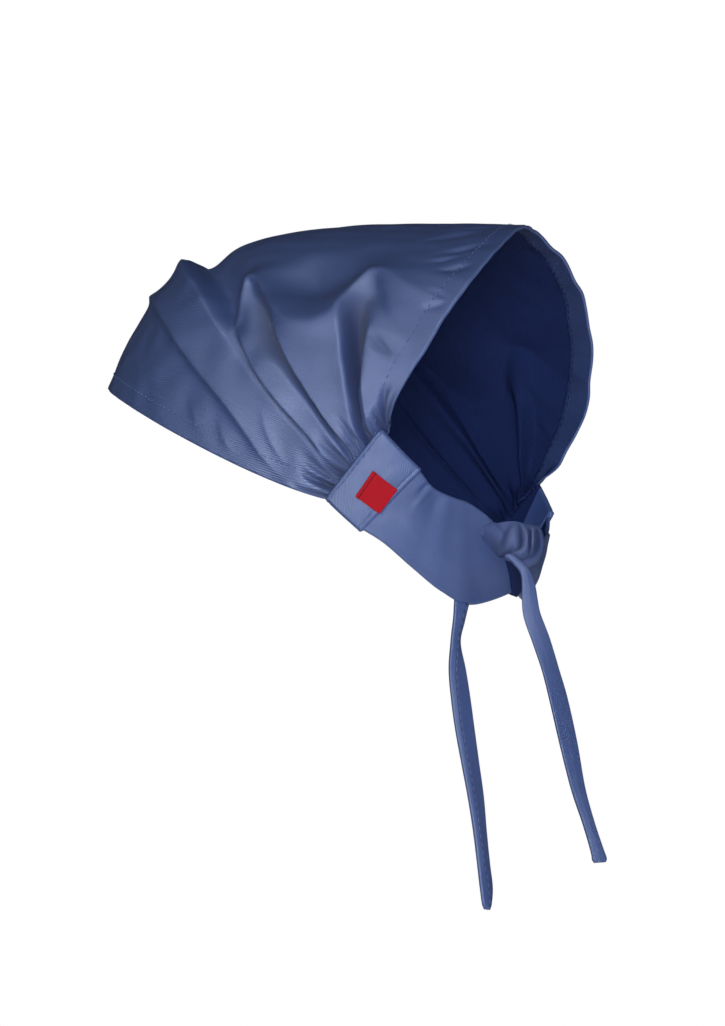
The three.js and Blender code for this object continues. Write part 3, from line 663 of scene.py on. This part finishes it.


def crown_surface(over, back):
    """Outer side, outward direction, flat place, distance to the nearer hem and depth in creases."""
    way, side = 1 - np.abs(1 - over), np.where(over < 1, 1.0, -1.0)
    length = np.broadcast_to(hem_to_hem(way[:, 0])[:, None], way.shape)
    cloth = np.stack([(back - 0.5) * length, (over - 1) * SIDE_LENGTH], -1)
    outward = crown_outward(way, back, side)
    smooth = smooth_crown(way, back, side)
    out_of_hem = unit(smooth[:, -1] - smooth[:, -2])[:, None]
    reach = through(REAR_HEM["over"], REAR_HEM["reach"], over[:, 0])[:, None]
    smooth = smooth + out_of_hem * (reach * smoothstep(back, REAR_HEM_START, 1))[..., None]
    waving = np.sin(2 * np.pi * cloth[..., 1] / HEM_WAVES["pitch"]) * HEM_WAVES["height"]
    to_rear = (1 - back) * length
    height, depth = crown_height(cloth)
    height += waving * np.exp(-to_rear / HEM_WAVES["reach"]) * smoothstep(over, 1, HEM_WAVES["full_at"])
    push = sum(fold_push(lip, cloth) for lip in both_sides(LEFT_LIPS))
    rearward = unit(np.gradient(smooth, axis=1))
    rightward = unit(np.gradient(smooth, axis=0))
    outer = smooth + outward * height[..., None] + rearward * push[..., :1] + rightward * push[..., 1:]
    return outer, outward, cloth, np.minimum(back, 1 - back) * length, depth


def crown_grid():
    left = 1 - np.linspace(1, 0, CROWN_STEPS["left"] + 1) ** CROWN_CROWDING
    right = 1 + np.linspace(0, 1, CROWN_STEPS["right"] + 1)[1:] ** CROWN_CROWDING
    back = np.linspace(0, 1, CROWN_STEPS["back"] + 1)
    return np.meshgrid(np.concatenate([left, right]), back, indexing="ij")


def make_crown(over, back):
    """The crown's piece, and its outer and inner side as grids of points. The inner side has the painted
    shade material, and its hem a lighter painted shade."""
    outer, outward, cloth, to_hem, depth = crown_surface(over, back)
    hem = 1 - smoothstep(to_hem, HEM_WIDTH, HEM_WIDTH + HEM_EDGE)
    inner = outer - outward * (CLOTH + HEM_EXTRA * hem)[..., None]
    inside = np.where(to_hem > HEM_WIDTH, 1, 2)[1:, 1:]
    piece = cloth_wall("crown_cloth", outer, inner, cloth, inside, over > RIGHT_SEAM)
    shade_creases(piece, depth / CREASE_SHADE)
    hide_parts("crown")
    return piece, outer, inner


def hem_line(surface, away, from_front):
    """The line on a side of the crown at one distance from a hem, and the direction out of that side."""
    place = away / hem_to_hem(1 - np.abs(1 - over_rows))
    column = (place if from_front else 1 - place) * CROWN_STEPS["back"]
    before = column.astype(int)
    row = np.arange(len(before))
    square = unit(np.cross(np.gradient(surface, axis=1), np.gradient(surface, axis=0)))
    at = lambda grid: lerp(grid[row, before], grid[row, before + 1], (column - before)[:, None])
    return at(surface), at(square)


crown_over, crown_back = crown_grid()
over_rows = crown_over[:, 0]
crown, crown_outer, crown_inner = make_crown(crown_over, crown_back)

# ---- Cuffs, label and straps ----

STRAP_COLUMNS = ("at", "bottom_angle", "bottom", "top_angle", "top")
STRAP_LEFT = table(STRAP_COLUMNS, [
    (0, 16.2, -25.3, 30.6, 5),
    (0.2, 28, -27.6, 38.2, 0.7),
    (0.4, 43, -33.2, 47, -0.2),
    (0.6, 58, -38.3, 54.5, 0),
    (0.8, 74, -39.7, 61.5, -1.4),
    (1, 94.5, -29, 68, -3),
])
STRAP_RIGHT = table(STRAP_COLUMNS, [
    (0, 13.6, -24.6, 27.6, 6),
    (0.2, 27, -27.1, 39, 0.2),
    (0.4, 39, -29.5, 48, -0.9),
    (0.6, 52, -31, 56, -0.9),
    (0.8, 65, -31, 64, -1.3),
    (1, 78.2, -29, 71.2, -3),
    (1.2, 96, -26, 88, -7),
])


def loop_angle(y):
    """Angle behind the ear, in degrees, at which the loop has gone back to y."""
    return np.degrees(np.arcsin(y / BACK_REACH))


def loop_outward(angle, side):
    turn = np.radians(angle)
    return unit(np.stack([side * np.cos(turn) / HALF_BREADTH, np.sin(turn) / BACK_REACH, 0 * turn], -1))


def on_loop(angle, z, side):
    turn = np.radians(angle)
    return np.stack([side * HALF_BREADTH * np.cos(turn), BACK_REACH * np.sin(turn), z + 0 * turn], -1)


def on_cuff(u, v, out, side):
    """u runs from the gathered seam to the far edge, v from the bottom edge to the top edge."""
    width = SEAM_TOP[1] - SEAM_BOTTOM[1]
    overhang = CUFF_OVERHANG / width
    trim = CUFF_TRIM[side]
    u = lerp(trim["seam"], trim["far"], np.asarray(u))
    v = lerp(trim["far_bottom"] * u, lerp(trim["seam_top"], trim["far_top"], u), v)
    share = lerp(-overhang, 1 + overhang, v)
    seam_angle = loop_angle(lerp(SEAM_BOTTOM[0], SEAM_TOP[0], share) + SEAM_GAP)
    far_angle = lerp(CUFF_FAR["bottom_angle"], CUFF_FAR["top_angle"], share)
    angle = lerp(seam_angle, far_angle, u)
    bottom = lerp(SEAM_BOTTOM[1], CUFF_FAR["bottom"], u)
    top = lerp(SEAM_TOP[1], CUFF_FAR["top"], u)
    straight = np.broadcast_to(np.array([side, 0.0, 0.0]), angle.shape + (3,))
    outward = unit(lerp(straight, loop_outward(angle, side), u[..., None]))
    return on_loop(angle, lerp(bottom, top, share), side) + outward * np.asarray(out)[..., None]


def sewn_edge(distance):
    """Relief beside a turned and topstitched edge: a fat rim, then the groove that the thread pulls."""
    rim = SEWN_EDGE["rim"] * bell(distance, SEWN_EDGE["rim_width"])
    return rim - SEWN_EDGE["groove"] * bell(distance - SEWN_EDGE["stitches_in"], SEWN_EDGE["groove_width"])


def unit_grid(along, up):
    """Shares from 0 to 1 along and up a piece, at each point of its grid."""
    return np.meshgrid(np.linspace(0, 1, along + 1), np.linspace(0, 1, up + 1), indexing="ij")


def make_cuff(name, side):
    u, v = unit_grid(*CUFF_STEPS)
    relief = sewn_edge(u * CUFF_LENGTH) + sewn_edge((1 - u) * CUFF_LENGTH)
    uv = np.stack([u * CUFF_LENGTH, v * CUFF_WIDTH], -1)
    rumpled = CUFF_RUMPLE["height"] * rumple(uv * CUFF_RUMPLE["finer"])
    outer = on_cuff(u, v, CUFF_OUT + relief + rumpled, side)
    inner = on_cuff(u, v, -CUFF_IN + 0 * u, side)
    # Near the seam the cuff's inner side and round edge get the painted shade material.
    shaded = u < lerp(*CUFF_SHADED[side], v)
    piece = cloth_wall(name + "_cloth", outer, inner, uv, shaded[1:, 1:], shaded)
    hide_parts(name)
    return piece


def make_label():
    """A woven label, a little turned on the left cuff, with a raised strip along its seam-side edge."""
    u, v = unit_grid(*LABEL["steps"])
    turn = math.radians(LABEL["turned"])
    flat = np.stack([(u - 0.5) * LABEL["length"], (v - 0.5) * LABEL["width"]], -1)
    along = flat[..., 0] * math.cos(turn) - flat[..., 1] * math.sin(turn)
    up = flat[..., 0] * math.sin(turn) + flat[..., 1] * math.cos(turn)
    low = CUFF_OUT + LABEL["clear"]
    place = lambda out: on_cuff(LABEL["along"] + along / CUFF_LENGTH, LABEL["up"] + up / CUFF_WIDTH, out, 1)
    strip = 1 - smoothstep(u * LABEL["length"], LABEL["strip"], LABEL["strip"] + LABEL["strip_edge"])
    to_corner = lambda share: (2 * np.abs(share - 0.5)) ** LABEL["corners"]
    curl = LABEL["curl"] * to_corner(u) * to_corner(v)
    outer = place(low + LABEL["thickness"] + LABEL["strip_height"] * strip + curl)
    uv = np.stack([u * LABEL["length"], v * LABEL["width"]], -1)
    piece = cloth_wall("label_left_cloth", outer, place(low + curl), uv)
    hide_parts("label_left")
    return piece


def make_strap(name, sections, side):
    """A flat band along the loop from cuff to knot. Its inner side has the painted shade material."""
    u, v = unit_grid(*STRAP_STEPS)
    u = u * sections["at"][-1]
    column = lambda key: through(sections["at"], sections[key], u)
    gap_angle = math.degrees(SEAM_GAP / HALF_BREADTH)
    angle = lerp(column("bottom_angle"), column("top_angle"), v) + gap_angle
    z = lerp(column("bottom"), column("top"), v)
    uv = np.stack([u * STRAP_CLOTH[0], -v * STRAP_CLOTH[1]], -1)
    bow = through(np.array([0, 0.5, 1]), np.array(STRAP_BOW[side]), v)
    bow = bow * np.sqrt(np.sin(np.pi * np.clip(u, 0, 1)))
    kinks = sum(height * bell(u - at, width) * bell(v - up, tall)
                for at, up, width, tall, height in STRAP_KINKS[side])
    out = bow + STRAP_RUMPLE * rumple(uv) + kinks
    face = lambda thick: on_loop(angle, z, side) + loop_outward(angle, side) * (out + thick)[..., None]
    outer, inner = face(STRAP_THICKNESS / 2), face(-STRAP_THICKNESS / 2)
    piece = cloth_wall(name + "_cloth", outer, inner, uv, np.ones(STRAP_STEPS, int))
    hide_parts(name)
    return piece


# ---- Knot ----

# The knot's core by height, in head millimetres.
KNOT = table(("z", "x", "half_length", "rear", "front"), [
    (-1.8, 10.5, 6, 2, 2),
    (-3.6, 10, 11, 4.5, 4),
    (-6, 9.3, 14.4, 7, 6),
    (-9, 8, 14, 8, 7),
    (-14, 5, 11, 7.5, 7),
    (-18, 1, 9, 6, 6),
    (-23, -4, 7, 5, 5),
    (-28, -8, 5, 3.4, 3.5),
    (-31, -10, 3, 2, 2),
])
KNOT_SIDES = 96
KNOT_RINGS = 70
KNOT_SHADED_BELOW = -17.0  # under this height the core lies in the bend of the strap and gets the painted shade material

# The face of the knot is described as it is seen from its left rear: across to the right, up, and out
# towards the viewer from KNOT_CENTRE in the frame's axes, in millimetres.
KNOT_CENTRE = np.array([5.0, 108.0, -168.0])
KNOT_SEEN_FROM = (117, -13)
KNOT_ROLL = math.radians(-5)
KNOT_FACE_MIDDLE = np.array([-4.5, 6.0, 15.4])
KNOT_FACE_RIM = np.array([
    (-20, 9.4, 21.5), (-18.8, 12.4, 21.6), (-16.4, 14, 19.6), (-14, 14, 17.2), (-12.1, 13.5, 15.8),
    (-9.5, 14, 14.5), (-7.1, 14.25, 13.5), (-4.4, 14.2, 12.5), (-1.8, 13.75, 11), (0.4, 13, 9.5),
    (3, 12.8, 7.5), (5.5, 12.4, 6), (7.6, 10.9, 4.5), (8.9, 7.1, 3), (9.3, 3.6, 2.5), (8.6, 0.1, 2.5),
    (6.8, -3, 3), (4.4, -5, 3.5), (1.6, -6, 4.5), (-1, -5.6, 5.5), (-4, -3.6, 7), (-6.2, -2, 7),
    (-8.5, -1.6, 7.4), (-10.7, -1.7, 8.6), (-12.8, 0, 11.8), (-15.4, 2.8, 15.8), (-18.6, 6.2, 19.8),
])
KNOT_FACE_THICKNESS = 5.0
KNOT_FACE_STEPS = {"around": 260, "outward": 90}
# Ridges and creases of the face as paths of across, up, height, width on the left and on the right.
KNOT_RIDGES = [
    [(-2.7, -1.4, 0.3, 0.6, 0.6), (-1.2, 0.1, 0.7, 0.7, 0.7), (0.8, 2.4, 0.9, 0.8, 0.8),
     (1.4, 6, 1, 0.9, 0.8), (0.8, 10.4, 0.8, 0.9, 0.8), (-0.2, 12.6, 0.3, 0.8, 0.8)],
    [(3, -0.4, 0.2, 0.6, 1), (3.4, 1.8, 1.4, 0.7, 1.2), (4, 6, 1.7, 0.8, 1.2), (4, 10.4, 1.5, 0.8, 1.2),
     (4.6, 12.2, 0.6, 0.8, 1.2)],
    [(1.7, -4.9, 0.8, 1.4, 0.7), (4, -4.3, 1.4, 1.4, 0.7), (6.4, -2.4, 1.6, 1.6, 0.7),
     (8, 0.3, 1.6, 1.6, 0.6), (8.4, 3.6, 1.6, 1.6, 0.6), (8.1, 7.1, 1.4, 1.5, 0.6),
     (7, 10.7, 1, 1.3, 0.7)],
    [(2.2, -1.9, 0.3, 0.7, 0.6), (4.4, -0.3, 0.6, 0.7, 0.6), (5.8, 2, 0.3, 0.7, 0.6)],
]
KNOT_CREASES = [
    [(-6.4, 0.4, -0.3, 1, 0.7), (-4.2, 0.9, -1, 1.2, 0.7), (-2.4, 1.8, -1.3, 1.5, 0.7),
     (-1, 3.8, -1.7, 1.7, 0.8), (-0.7, 7.1, -1.8, 1.7, 0.9), (-1.4, 11.2, -1.2, 1.4, 0.8),
     (-2.2, 13, -0.3, 1, 0.8)],
    [(2, 0.2, -0.4, 0.6, 0.4), (2.4, 1.8, -1.7, 0.7, 0.5), (2.5, 6, -2, 0.8, 0.5),
     (2.8, 10.2, -1.6, 0.7, 0.5)],
    [(-1.4, -2.8, -0.6, 0.9, 0.8), (2, -1.5, -1.3, 1, 1), (4.6, 0.2, -1.4, 1.2, 1.1),
     (6, 3.2, -1.8, 1.5, 1.2), (6.3, 6.5, -1.8, 1.4, 1.1), (6, 9.8, -1.2, 1, 0.9)],
    [(-9.8, -1.6, -1.3, 1.4, 2.8), (-11.3, 0.8, -1.4, 1.8, 3.2), (-12.9, 3.4, -1.4, 2, 3.4),
     (-15.4, 6.2, -1, 1.8, 3.2), (-18.4, 8.4, -0.5, 1.4, 2.8)],
    [(-8.6, 4.4, -1.2, 1.4, 1.6), (-7.6, 8.2, -1.2, 1.4, 1.6), (-5.8, 11.4, -0.8, 1.2, 1.4),
     (-4.2, 13, -0.2, 1, 1)],
]
KNOT_RELIEF_END = 3  # how abruptly the ridges end at the rim
KNOT_CREASE_SHADE = 1.3  # depth in mm over which the painted shade of a crease of the face deepens
KNOT_SHADE = 0.45  # painted shade over the whole face, which lies in a hollow: depth in mm added to that of its creases


def make_knot():
    """The knot's core. Its foot, in the bend of the strap, has the painted shade material."""
    fall = -KNOT["z"]
    at = np.linspace(fall[0], fall[-1], KNOT_RINGS)
    column = lambda key: through(fall, KNOT[key], at)[:, None]
    turn = (2 * np.pi * np.arange(KNOT_SIDES) / KNOT_SIDES)[None]
    behind = np.sin(turn)
    x = column("x") + column("half_length") * np.cos(turn)
    z = -at[:, None] + 0 * turn
    loop_y = BACK_REACH * np.sqrt(1 - (x / HALF_BREADTH) ** 2)
    depth = np.where(behind > 0, column("rear"), column("front"))
    rings = to_row(np.stack([x, loop_y + depth * behind, z], -1))
    uv = np.stack(np.broadcast_arrays(x, z), -1) * MM
    shaded = np.repeat(z[:-1, 0] < KNOT_SHADED_BELOW, KNOT_SIDES).tolist()
    fans = [False] * KNOT_SIDES + [True] * KNOT_SIDES
    piece = loft("knot_cloth", rings, uv, shaded + fans)
    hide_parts("knot")
    return piece


def knot_axes():
    """Unit vectors across, up and out of the side from which the face of the knot is described."""
    out = toward(*KNOT_SEEN_FROM)
    right = unit(np.cross([0, 0, 1], out))
    up = np.cross(out, right)
    cos, sin = math.cos(KNOT_ROLL), math.sin(KNOT_ROLL)
    return right * cos + up * sin, up * cos - right * sin, out


def make_knot_face():
    """The cloth drawn round the core: a cushion over an outline, with ridges and creases."""
    around, outward = KNOT_FACE_STEPS["around"], KNOT_FACE_STEPS["outward"]
    corners = np.concatenate([KNOT_FACE_RIM, KNOT_FACE_RIM[:1]])
    stations = np.arange(len(corners), dtype=float)
    turn = np.arange(around) * len(KNOT_FACE_RIM) / around
    rim = np.stack([through(stations, corners[:, k], turn) for k in range(3)], -1)
    share = np.linspace(0, 1, outward + 1)[1:, None, None]
    flat = lerp(KNOT_FACE_MIDDLE, rim, share)
    flat[..., 2] = lerp(KNOT_FACE_MIDDLE[2], rim[:, 2], share[..., 0] ** 2)
    at = lambda across, up: np.stack([across, up], -1)
    relief = lambda paths: sum(fold_relief(path, flat[..., :2], at, CREASE_BLEND) for path in paths)
    depth = -relief(KNOT_CREASES)
    raised = relief(KNOT_RIDGES) - depth
    round_off = np.sqrt(1 - share[..., 0] ** 2)
    front = flat.copy()
    front[..., 2] += raised * np.minimum(1, KNOT_RELIEF_END * round_off)
    behind = flat - np.array([0, 0, KNOT_FACE_THICKNESS]) * round_off[..., None]
    rings = np.concatenate([front, behind[-2::-1]])
    axes = knot_axes()
    places = KNOT_CENTRE + sum(rings[..., k, None] * axes[k] for k in range(3))
    piece = loft("knot_face", places * MM, rings[..., :2] * MM)
    # Painted shade: the face is darkened in its creases and, a little, all over.
    shade_creases(piece, (KNOT_SHADE + depth) / KNOT_CREASE_SHADE)
    return piece


cuffs = [make_cuff("cuff_left", 1), make_cuff("cuff_right", -1)]
label = make_label()
straps = [make_strap("strap_left", STRAP_LEFT, 1),
          make_strap("strap_right", STRAP_RIGHT, -1)]
knot = make_knot()
knot_face = make_knot_face()

# ---- Stitches ----

STITCH = {"length": 2.3, "gap": 1.2, "radius": 0.24, "sunk": 0.18, "ends": 0.5}
STITCH_RINGS = 6
STITCH_SIDES = 6
CUFF_STITCHES = {"from_to": (0.02, 0.98), "points": 60}
HEM_STITCHES_IN = HEM_WIDTH - 0.8  # just inside the turned edge of the hem


def in_frame(line, outward):
    """A line and the directions out of it, from the head's axes to the frame's, in millimetres."""
    return to_row(line) / MM, (to_row(line + outward) - to_row(line)) / MM


def make_stitches(name, line, outward):
    """Thread stitches along a line of points in millimetres along the frame's axes, as one piece."""
    run = np.r_[0, np.cumsum(np.linalg.norm(np.diff(line, axis=0), axis=1))]
    starts = np.arange(STITCH["gap"], run[-1] - STITCH["length"], STITCH["length"] + STITCH["gap"])
    share = np.linspace(0, 1, STITCH_RINGS)
    at = starts[:, None] + share * STITCH["length"]
    along_run = lambda values: np.stack([np.interp(at, run, values[:, k]) for k in range(3)], -1)
    centre, out = along_run(line), unit(along_run(outward))
    bulge = np.sin(np.pi * share)
    centre = centre + out * (bulge * STITCH["radius"] - (1 - bulge) * STITCH["sunk"])[:, None]
    across = unit(np.cross(np.gradient(centre, axis=1), out))
    radius = STITCH["radius"] * lerp(STITCH["ends"], 1, bulge)[:, None, None]
    turn = 2 * np.pi * np.arange(STITCH_SIDES) / STITCH_SIDES
    rings = (centre[:, :, None] + radius * (across[:, :, None] * np.cos(turn)[:, None]
                                            + out[:, :, None] * np.sin(turn)[:, None]))
    size = STITCH_RINGS * STITCH_SIDES
    caps = [list(range(STITCH_SIDES))[::-1], list(range(size - STITCH_SIDES, size))]
    one = tube_faces(STITCH_RINGS, STITCH_SIDES) + caps
    faces = [[k * size + corner for corner in face] for k in range(len(starts)) for face in one]
    uv = np.stack(np.broadcast_arrays(at[:, :, None], turn * STITCH["radius"]), -1).reshape(-1, 2)
    piece = turn_outward(mesh_piece(name, rings.reshape(-1, 3) * MM, faces, uv * MM))
    return piece


def cuff_stitches(name, u, side):
    v = np.linspace(*CUFF_STITCHES["from_to"], CUFF_STITCHES["points"])
    line = on_cuff(u + 0 * v, v, CUFF_OUT - SEWN_EDGE["groove"] + 0 * v, side)
    return make_stitches(name, *in_frame(line, np.broadcast_to([side, 0.0, 0.0], line.shape)))


stitches = [
    make_stitches("front_hem_stitches", *in_frame(*hem_line(crown_outer, HEM_STITCHES_IN, True))),
    make_stitches("rear_hem_stitches", *in_frame(*hem_line(crown_outer, HEM_STITCHES_IN, False))),
    make_stitches("tie_left_stitches", *tie_seam("tie_left", TIE_LEFT)),
]
inner_line, inward = hem_line(crown_inner, HEM_STITCHES_IN, False)
stitches.append(make_stitches("rear_hem_stitches_inside", *in_frame(inner_line, -inward)))
stitches_in = SEWN_EDGE["stitches_in"] / CUFF_LENGTH
for side_name, side in (("left", 1), ("right", -1)):
    for edge, at in (("seam", stitches_in), ("far", 1 - stitches_in)):
        stitches.append(cuff_stitches(f"cuff_{edge}_stitches_{side_name}", at, side))

# ---- Materials ----

TWILL = {"color": (0.032, 0.060, 0.190), "roughness": 0.52, "specular": 1.0}
# Painted shade: a darker copy of the twill for inner sides and other places that lie in shade.
TWILL_PAINTED_SHADE = {"color": (0.008, 0.015, 0.062), "roughness": 0.8, "specular": 0.1}
# Painted shade, lighter: the turned hem on the crown's inner side.
HEM_PAINTED_SHADE = {"color": (0.015, 0.027, 0.088), "roughness": 0.7, "specular": 0.3}
THREAD = {"color": (0.045, 0.080, 0.220), "roughness": 0.5, "specular": 1.0}
LABEL_RED = {"color": (0.33, 0.004, 0.009), "roughness": 0.8, "specular": 0.12}
PALE_FLOOR = {"color": (0.9, 0.9, 0.9), "roughness": 0.9, "specular": 0.2}
CLOTH_IOR = 1.75
CLOTH_GLOSS = (0.68, 0.78, 1.0)
# How much of each colour channel the painted shade of the deepest creases takes away.
CREASE_DARKENING = (0.97, 0.93, 0.75)
# Pitches and lengths of the weaves in metres, and the strength and height of their relief.
BUMP = {"twill": (0.6, 0.00008), "thread": (0.5, 0.00006), "label": (0.4, 0.00006)}
PITCH = {"rib": 0.0010, "weft": 0.00036, "ply": 0.0006, "label": 0.0005}
RIB_SLOPE = 0.9
RIB_WANDER = 0.0006
WEFT_HEIGHT = 0.25
# Noise by scale and detail: short thick places in the threads, and wide patches of uneven dye.
SLUB, SLUB_HEIGHT = (900.0, 3.0), 2.2
BLOTCH = (60.0, 4.0)
GRAIN_SHADES = ((-2.0, 2.0), (0.80, 1.20))
BLOTCH_SHADES = ((0.3, 0.7), (0.95, 1.05))
LABEL_SLUB, LABEL_SLUB_HEIGHT = (1500.0, 2.0), 1.5
LABEL_SHADES = (0.5, 0.72)
# Painted shadow: a dark line on the label where its raised strip ends.
LABEL_FOLD = {"half_width": 0.00016, "shade": -0.6}


class Nodes:
    """A material under construction: makes nodes and joins them."""

    def __init__(self, name, color, roughness, specular):
        self.material = bpy.data.materials.new(name)
        self.material.use_nodes = True
        self.tree = self.material.node_tree
        self.shader = self.tree.nodes["Principled BSDF"]
        self.shader.inputs["Base Color"].default_value = (*color, 1)
        self.shader.inputs["Roughness"].default_value = roughness
        self.shader.inputs["Specular IOR Level"].default_value = specular
        self.shader.inputs["IOR"].default_value = CLOTH_IOR
        self.shader.inputs["Specular Tint"].default_value = (*CLOTH_GLOSS, 1)

    def add(self, kind, inputs=(), **settings):
        node = self.tree.nodes.new(kind)
        for key, value in settings.items():
            setattr(node, key, value)
        for key, value in dict(inputs).items():
            if isinstance(value, bpy.types.NodeSocket):
                self.tree.links.new(value, node.inputs[key])
            else:
                node.inputs[key].default_value = value
        return node.outputs

    def math(self, operation, first, second=0.0, third=0.0):
        return self.add("ShaderNodeMath", {0: first, 1: second, 2: third}, operation=operation)[0]

    def vector(self, operation, first, second):
        return self.add("ShaderNodeVectorMath", {0: first, 1: second}, operation=operation)[0]

    def into(self, socket, value):
        self.tree.links.new(value, self.shader.inputs[socket])

    def cloth(self):
        """The cloth's coordinates in metres, together and one by one."""
        uv = self.add("ShaderNodeUVMap", uv_map="cloth")[0]
        u, v, _ = self.add("ShaderNodeSeparateXYZ", {0: uv})
        return uv, u, v

    def wave(self, distance, pitch):
        """-1 to 1 and back over each pitch of a distance."""
        return self.math("SINE", self.math("MULTIPLY", distance, 2 * math.pi / pitch))

    def noise(self, uv, scale, detail):
        return self.add("ShaderNodeTexNoise", {"Vector": uv, "Scale": scale, "Detail": detail})[0]

    def shades(self, value, values, shades):
        ends = {"From Min": values[0], "From Max": values[1], "To Min": shades[0], "To Max": shades[1]}
        return self.add("ShaderNodeMapRange", {"Value": value, **ends})[0]

    def bump(self, height, strength, distance):
        inputs = {"Strength": strength, "Distance": distance, "Height": height}
        self.into("Normal", self.add("ShaderNodeBump", inputs)[0])


def twill_material(name, color, roughness, specular):
    nodes = Nodes(name, color, roughness, specular)
    uv, u, v = nodes.cloth()
    slub, blotch = nodes.noise(uv, *SLUB), nodes.noise(uv, *BLOTCH)
    diagonal = nodes.math("ADD", u, nodes.math("MULTIPLY", v, RIB_SLOPE))
    diagonal = nodes.math("ADD", diagonal, nodes.math("MULTIPLY", blotch, RIB_WANDER))
    rib, weft = nodes.wave(diagonal, PITCH["rib"]), nodes.wave(v, PITCH["weft"])
    relief = nodes.math("MULTIPLY_ADD", weft, WEFT_HEIGHT, rib)
    grain = nodes.math("MULTIPLY_ADD", nodes.math("SUBTRACT", slub, 0.5), SLUB_HEIGHT, relief)
    nodes.bump(grain, *BUMP["twill"])
    both = nodes.math("MULTIPLY", nodes.shades(grain, *GRAIN_SHADES), nodes.shades(blotch, *BLOTCH_SHADES))
    # Painted shade: the crease attribute darkens the base colour in creases; it also roughens them.
    crease = nodes.add("ShaderNodeAttribute", attribute_name="crease")["Fac"]
    kept = nodes.vector("SUBTRACT", (1, 1, 1), nodes.vector("MULTIPLY", CREASE_DARKENING, crease))
    nodes.into("Base Color", nodes.vector("MULTIPLY", nodes.vector("MULTIPLY", color, both), kept))
    nodes.into("Roughness", nodes.math("MULTIPLY_ADD", crease, 1.0 - roughness, roughness))
    return nodes.material


def thread_material():
    nodes = Nodes("thread", **THREAD)
    _, u, v = nodes.cloth()
    nodes.bump(nodes.wave(nodes.math("ADD", u, v), PITCH["ply"]), *BUMP["thread"])
    return nodes.material


def label_material():
    """Red woven cloth, with a painted shadow line where the strip along its edge ends."""
    nodes = Nodes("label", **LABEL_RED)
    uv, u, _ = nodes.cloth()
    slub = nodes.noise(uv, *LABEL_SLUB)
    fold = nodes.math("COMPARE", u, LABEL["strip"] * MM, LABEL_FOLD["half_width"])
    shade = nodes.math("MULTIPLY_ADD", slub, *LABEL_SHADES)
    kept = nodes.math("MULTIPLY_ADD", fold, LABEL_FOLD["shade"], shade)
    nodes.into("Base Color", nodes.vector("MULTIPLY", LABEL_RED["color"], kept))
    grain = nodes.math("MULTIPLY_ADD", slub, LABEL_SLUB_HEIGHT, nodes.wave(u, PITCH["label"]))
    nodes.bump(grain, *BUMP["label"])
    return nodes.material


twill = twill_material("twill", **TWILL)
twill_inside = twill_material("twill_inside", **TWILL_PAINTED_SHADE)
thread = thread_material()
for piece in [crown, *ties, *cuffs, *straps, knot, knot_face]:
    piece.data.materials.append(twill)
# The second material is the painted shade of inner sides, the knot's foot and shaded edges.
for piece in [crown, knot, *straps, *cuffs]:
    piece.data.materials.append(twill_inside)
# The stitches on the inner side get the painted shade material instead of thread.
for piece in stitches:
    piece.data.materials.append(twill_inside if piece.name.endswith("inside") else thread)
crown.data.materials.append(twill_material("hem_inside", **HEM_PAINTED_SHADE))
label.data.materials.append(label_material())

# ---- Light, floor and background ----

CENTRE = (CAD_BOX[0] + CAD_BOX[1]) / 2
FLOOR_Z = -1.1
FLOOR_REACH = 6.0
AMBIENT = (0.06, 0.078, 0.112)
# Soft studio lamps: azimuth and elevation at which they are seen from the object, size in metres, power in
# watts, and whether they light the cloth itself and its gloss.
LAMPS = {
    "main": (119, -4, 0.9, 60, True, False),
    "gloss": (84, 12, 1.0, 58, False, True),
    "high_gloss": (130, 32, 0.8, 5, False, True),
    "low_gloss": (140, -25, 1.4, 9, False, True),
    "far_side": (-65, 15, 1.2, 40, True, False),
    "rear": (218, 25, 1.2, 5, True, True),
}
LAMP_DISTANCE = 2.5


def make_lamp(name, azimuth, elevation, size, power, cloth, gloss):
    data = bpy.data.lights.new(name, "AREA")
    data.shape, data.size, data.energy = "DISK", size, power
    lamp = link(name, data)
    away = Vector(toward(azimuth, elevation))
    lamp.location = CENTRE + away * LAMP_DISTANCE
    lamp.rotation_mode = "QUATERNION"
    lamp.rotation_quaternion = away.to_track_quat("Z", "Y")
    lamp.visible_diffuse = cloth
    lamp.visible_glossy = gloss


def make_world():
    """White where the camera sees it, and a dim blue light on the object, without gloss."""
    world = bpy.data.worlds.new("studio")
    bpy.context.scene.world = world
    world.use_nodes = True
    nodes, links = world.node_tree.nodes, world.node_tree.links
    seen = nodes["Background"]
    seen.inputs["Color"].default_value = (1, 1, 1, 1)
    lit = nodes.new("ShaderNodeBackground")
    lit.inputs["Color"].default_value = (*AMBIENT, 1)
    path = nodes.new("ShaderNodeLightPath")
    mix = nodes.new("ShaderNodeMixShader")
    links.new(path.outputs["Is Camera Ray"], mix.inputs[0])
    links.new(lit.outputs[0], mix.inputs[1])
    links.new(seen.outputs[0], mix.inputs[2])
    links.new(mix.outputs[0], nodes["World Output"].inputs["Surface"])
    world.cycles_visibility.glossy = False


def make_floor():
    mesh = bpy.data.meshes.new("floor")
    corners = [(x * FLOOR_REACH, y * FLOOR_REACH, FLOOR_Z) for x, y in ((-1, -1), (1, -1), (1, 1), (-1, 1))]
    mesh.from_pydata(corners, [], [(0, 1, 2, 3)])
    mesh.materials.append(Nodes("pale_floor", **PALE_FLOOR).material)
    link("floor", mesh)


for name, settings in LAMPS.items():
    make_lamp(name, *settings)
make_world()
make_floor()
bpy.context.scene.view_settings.view_transform = "Standard"
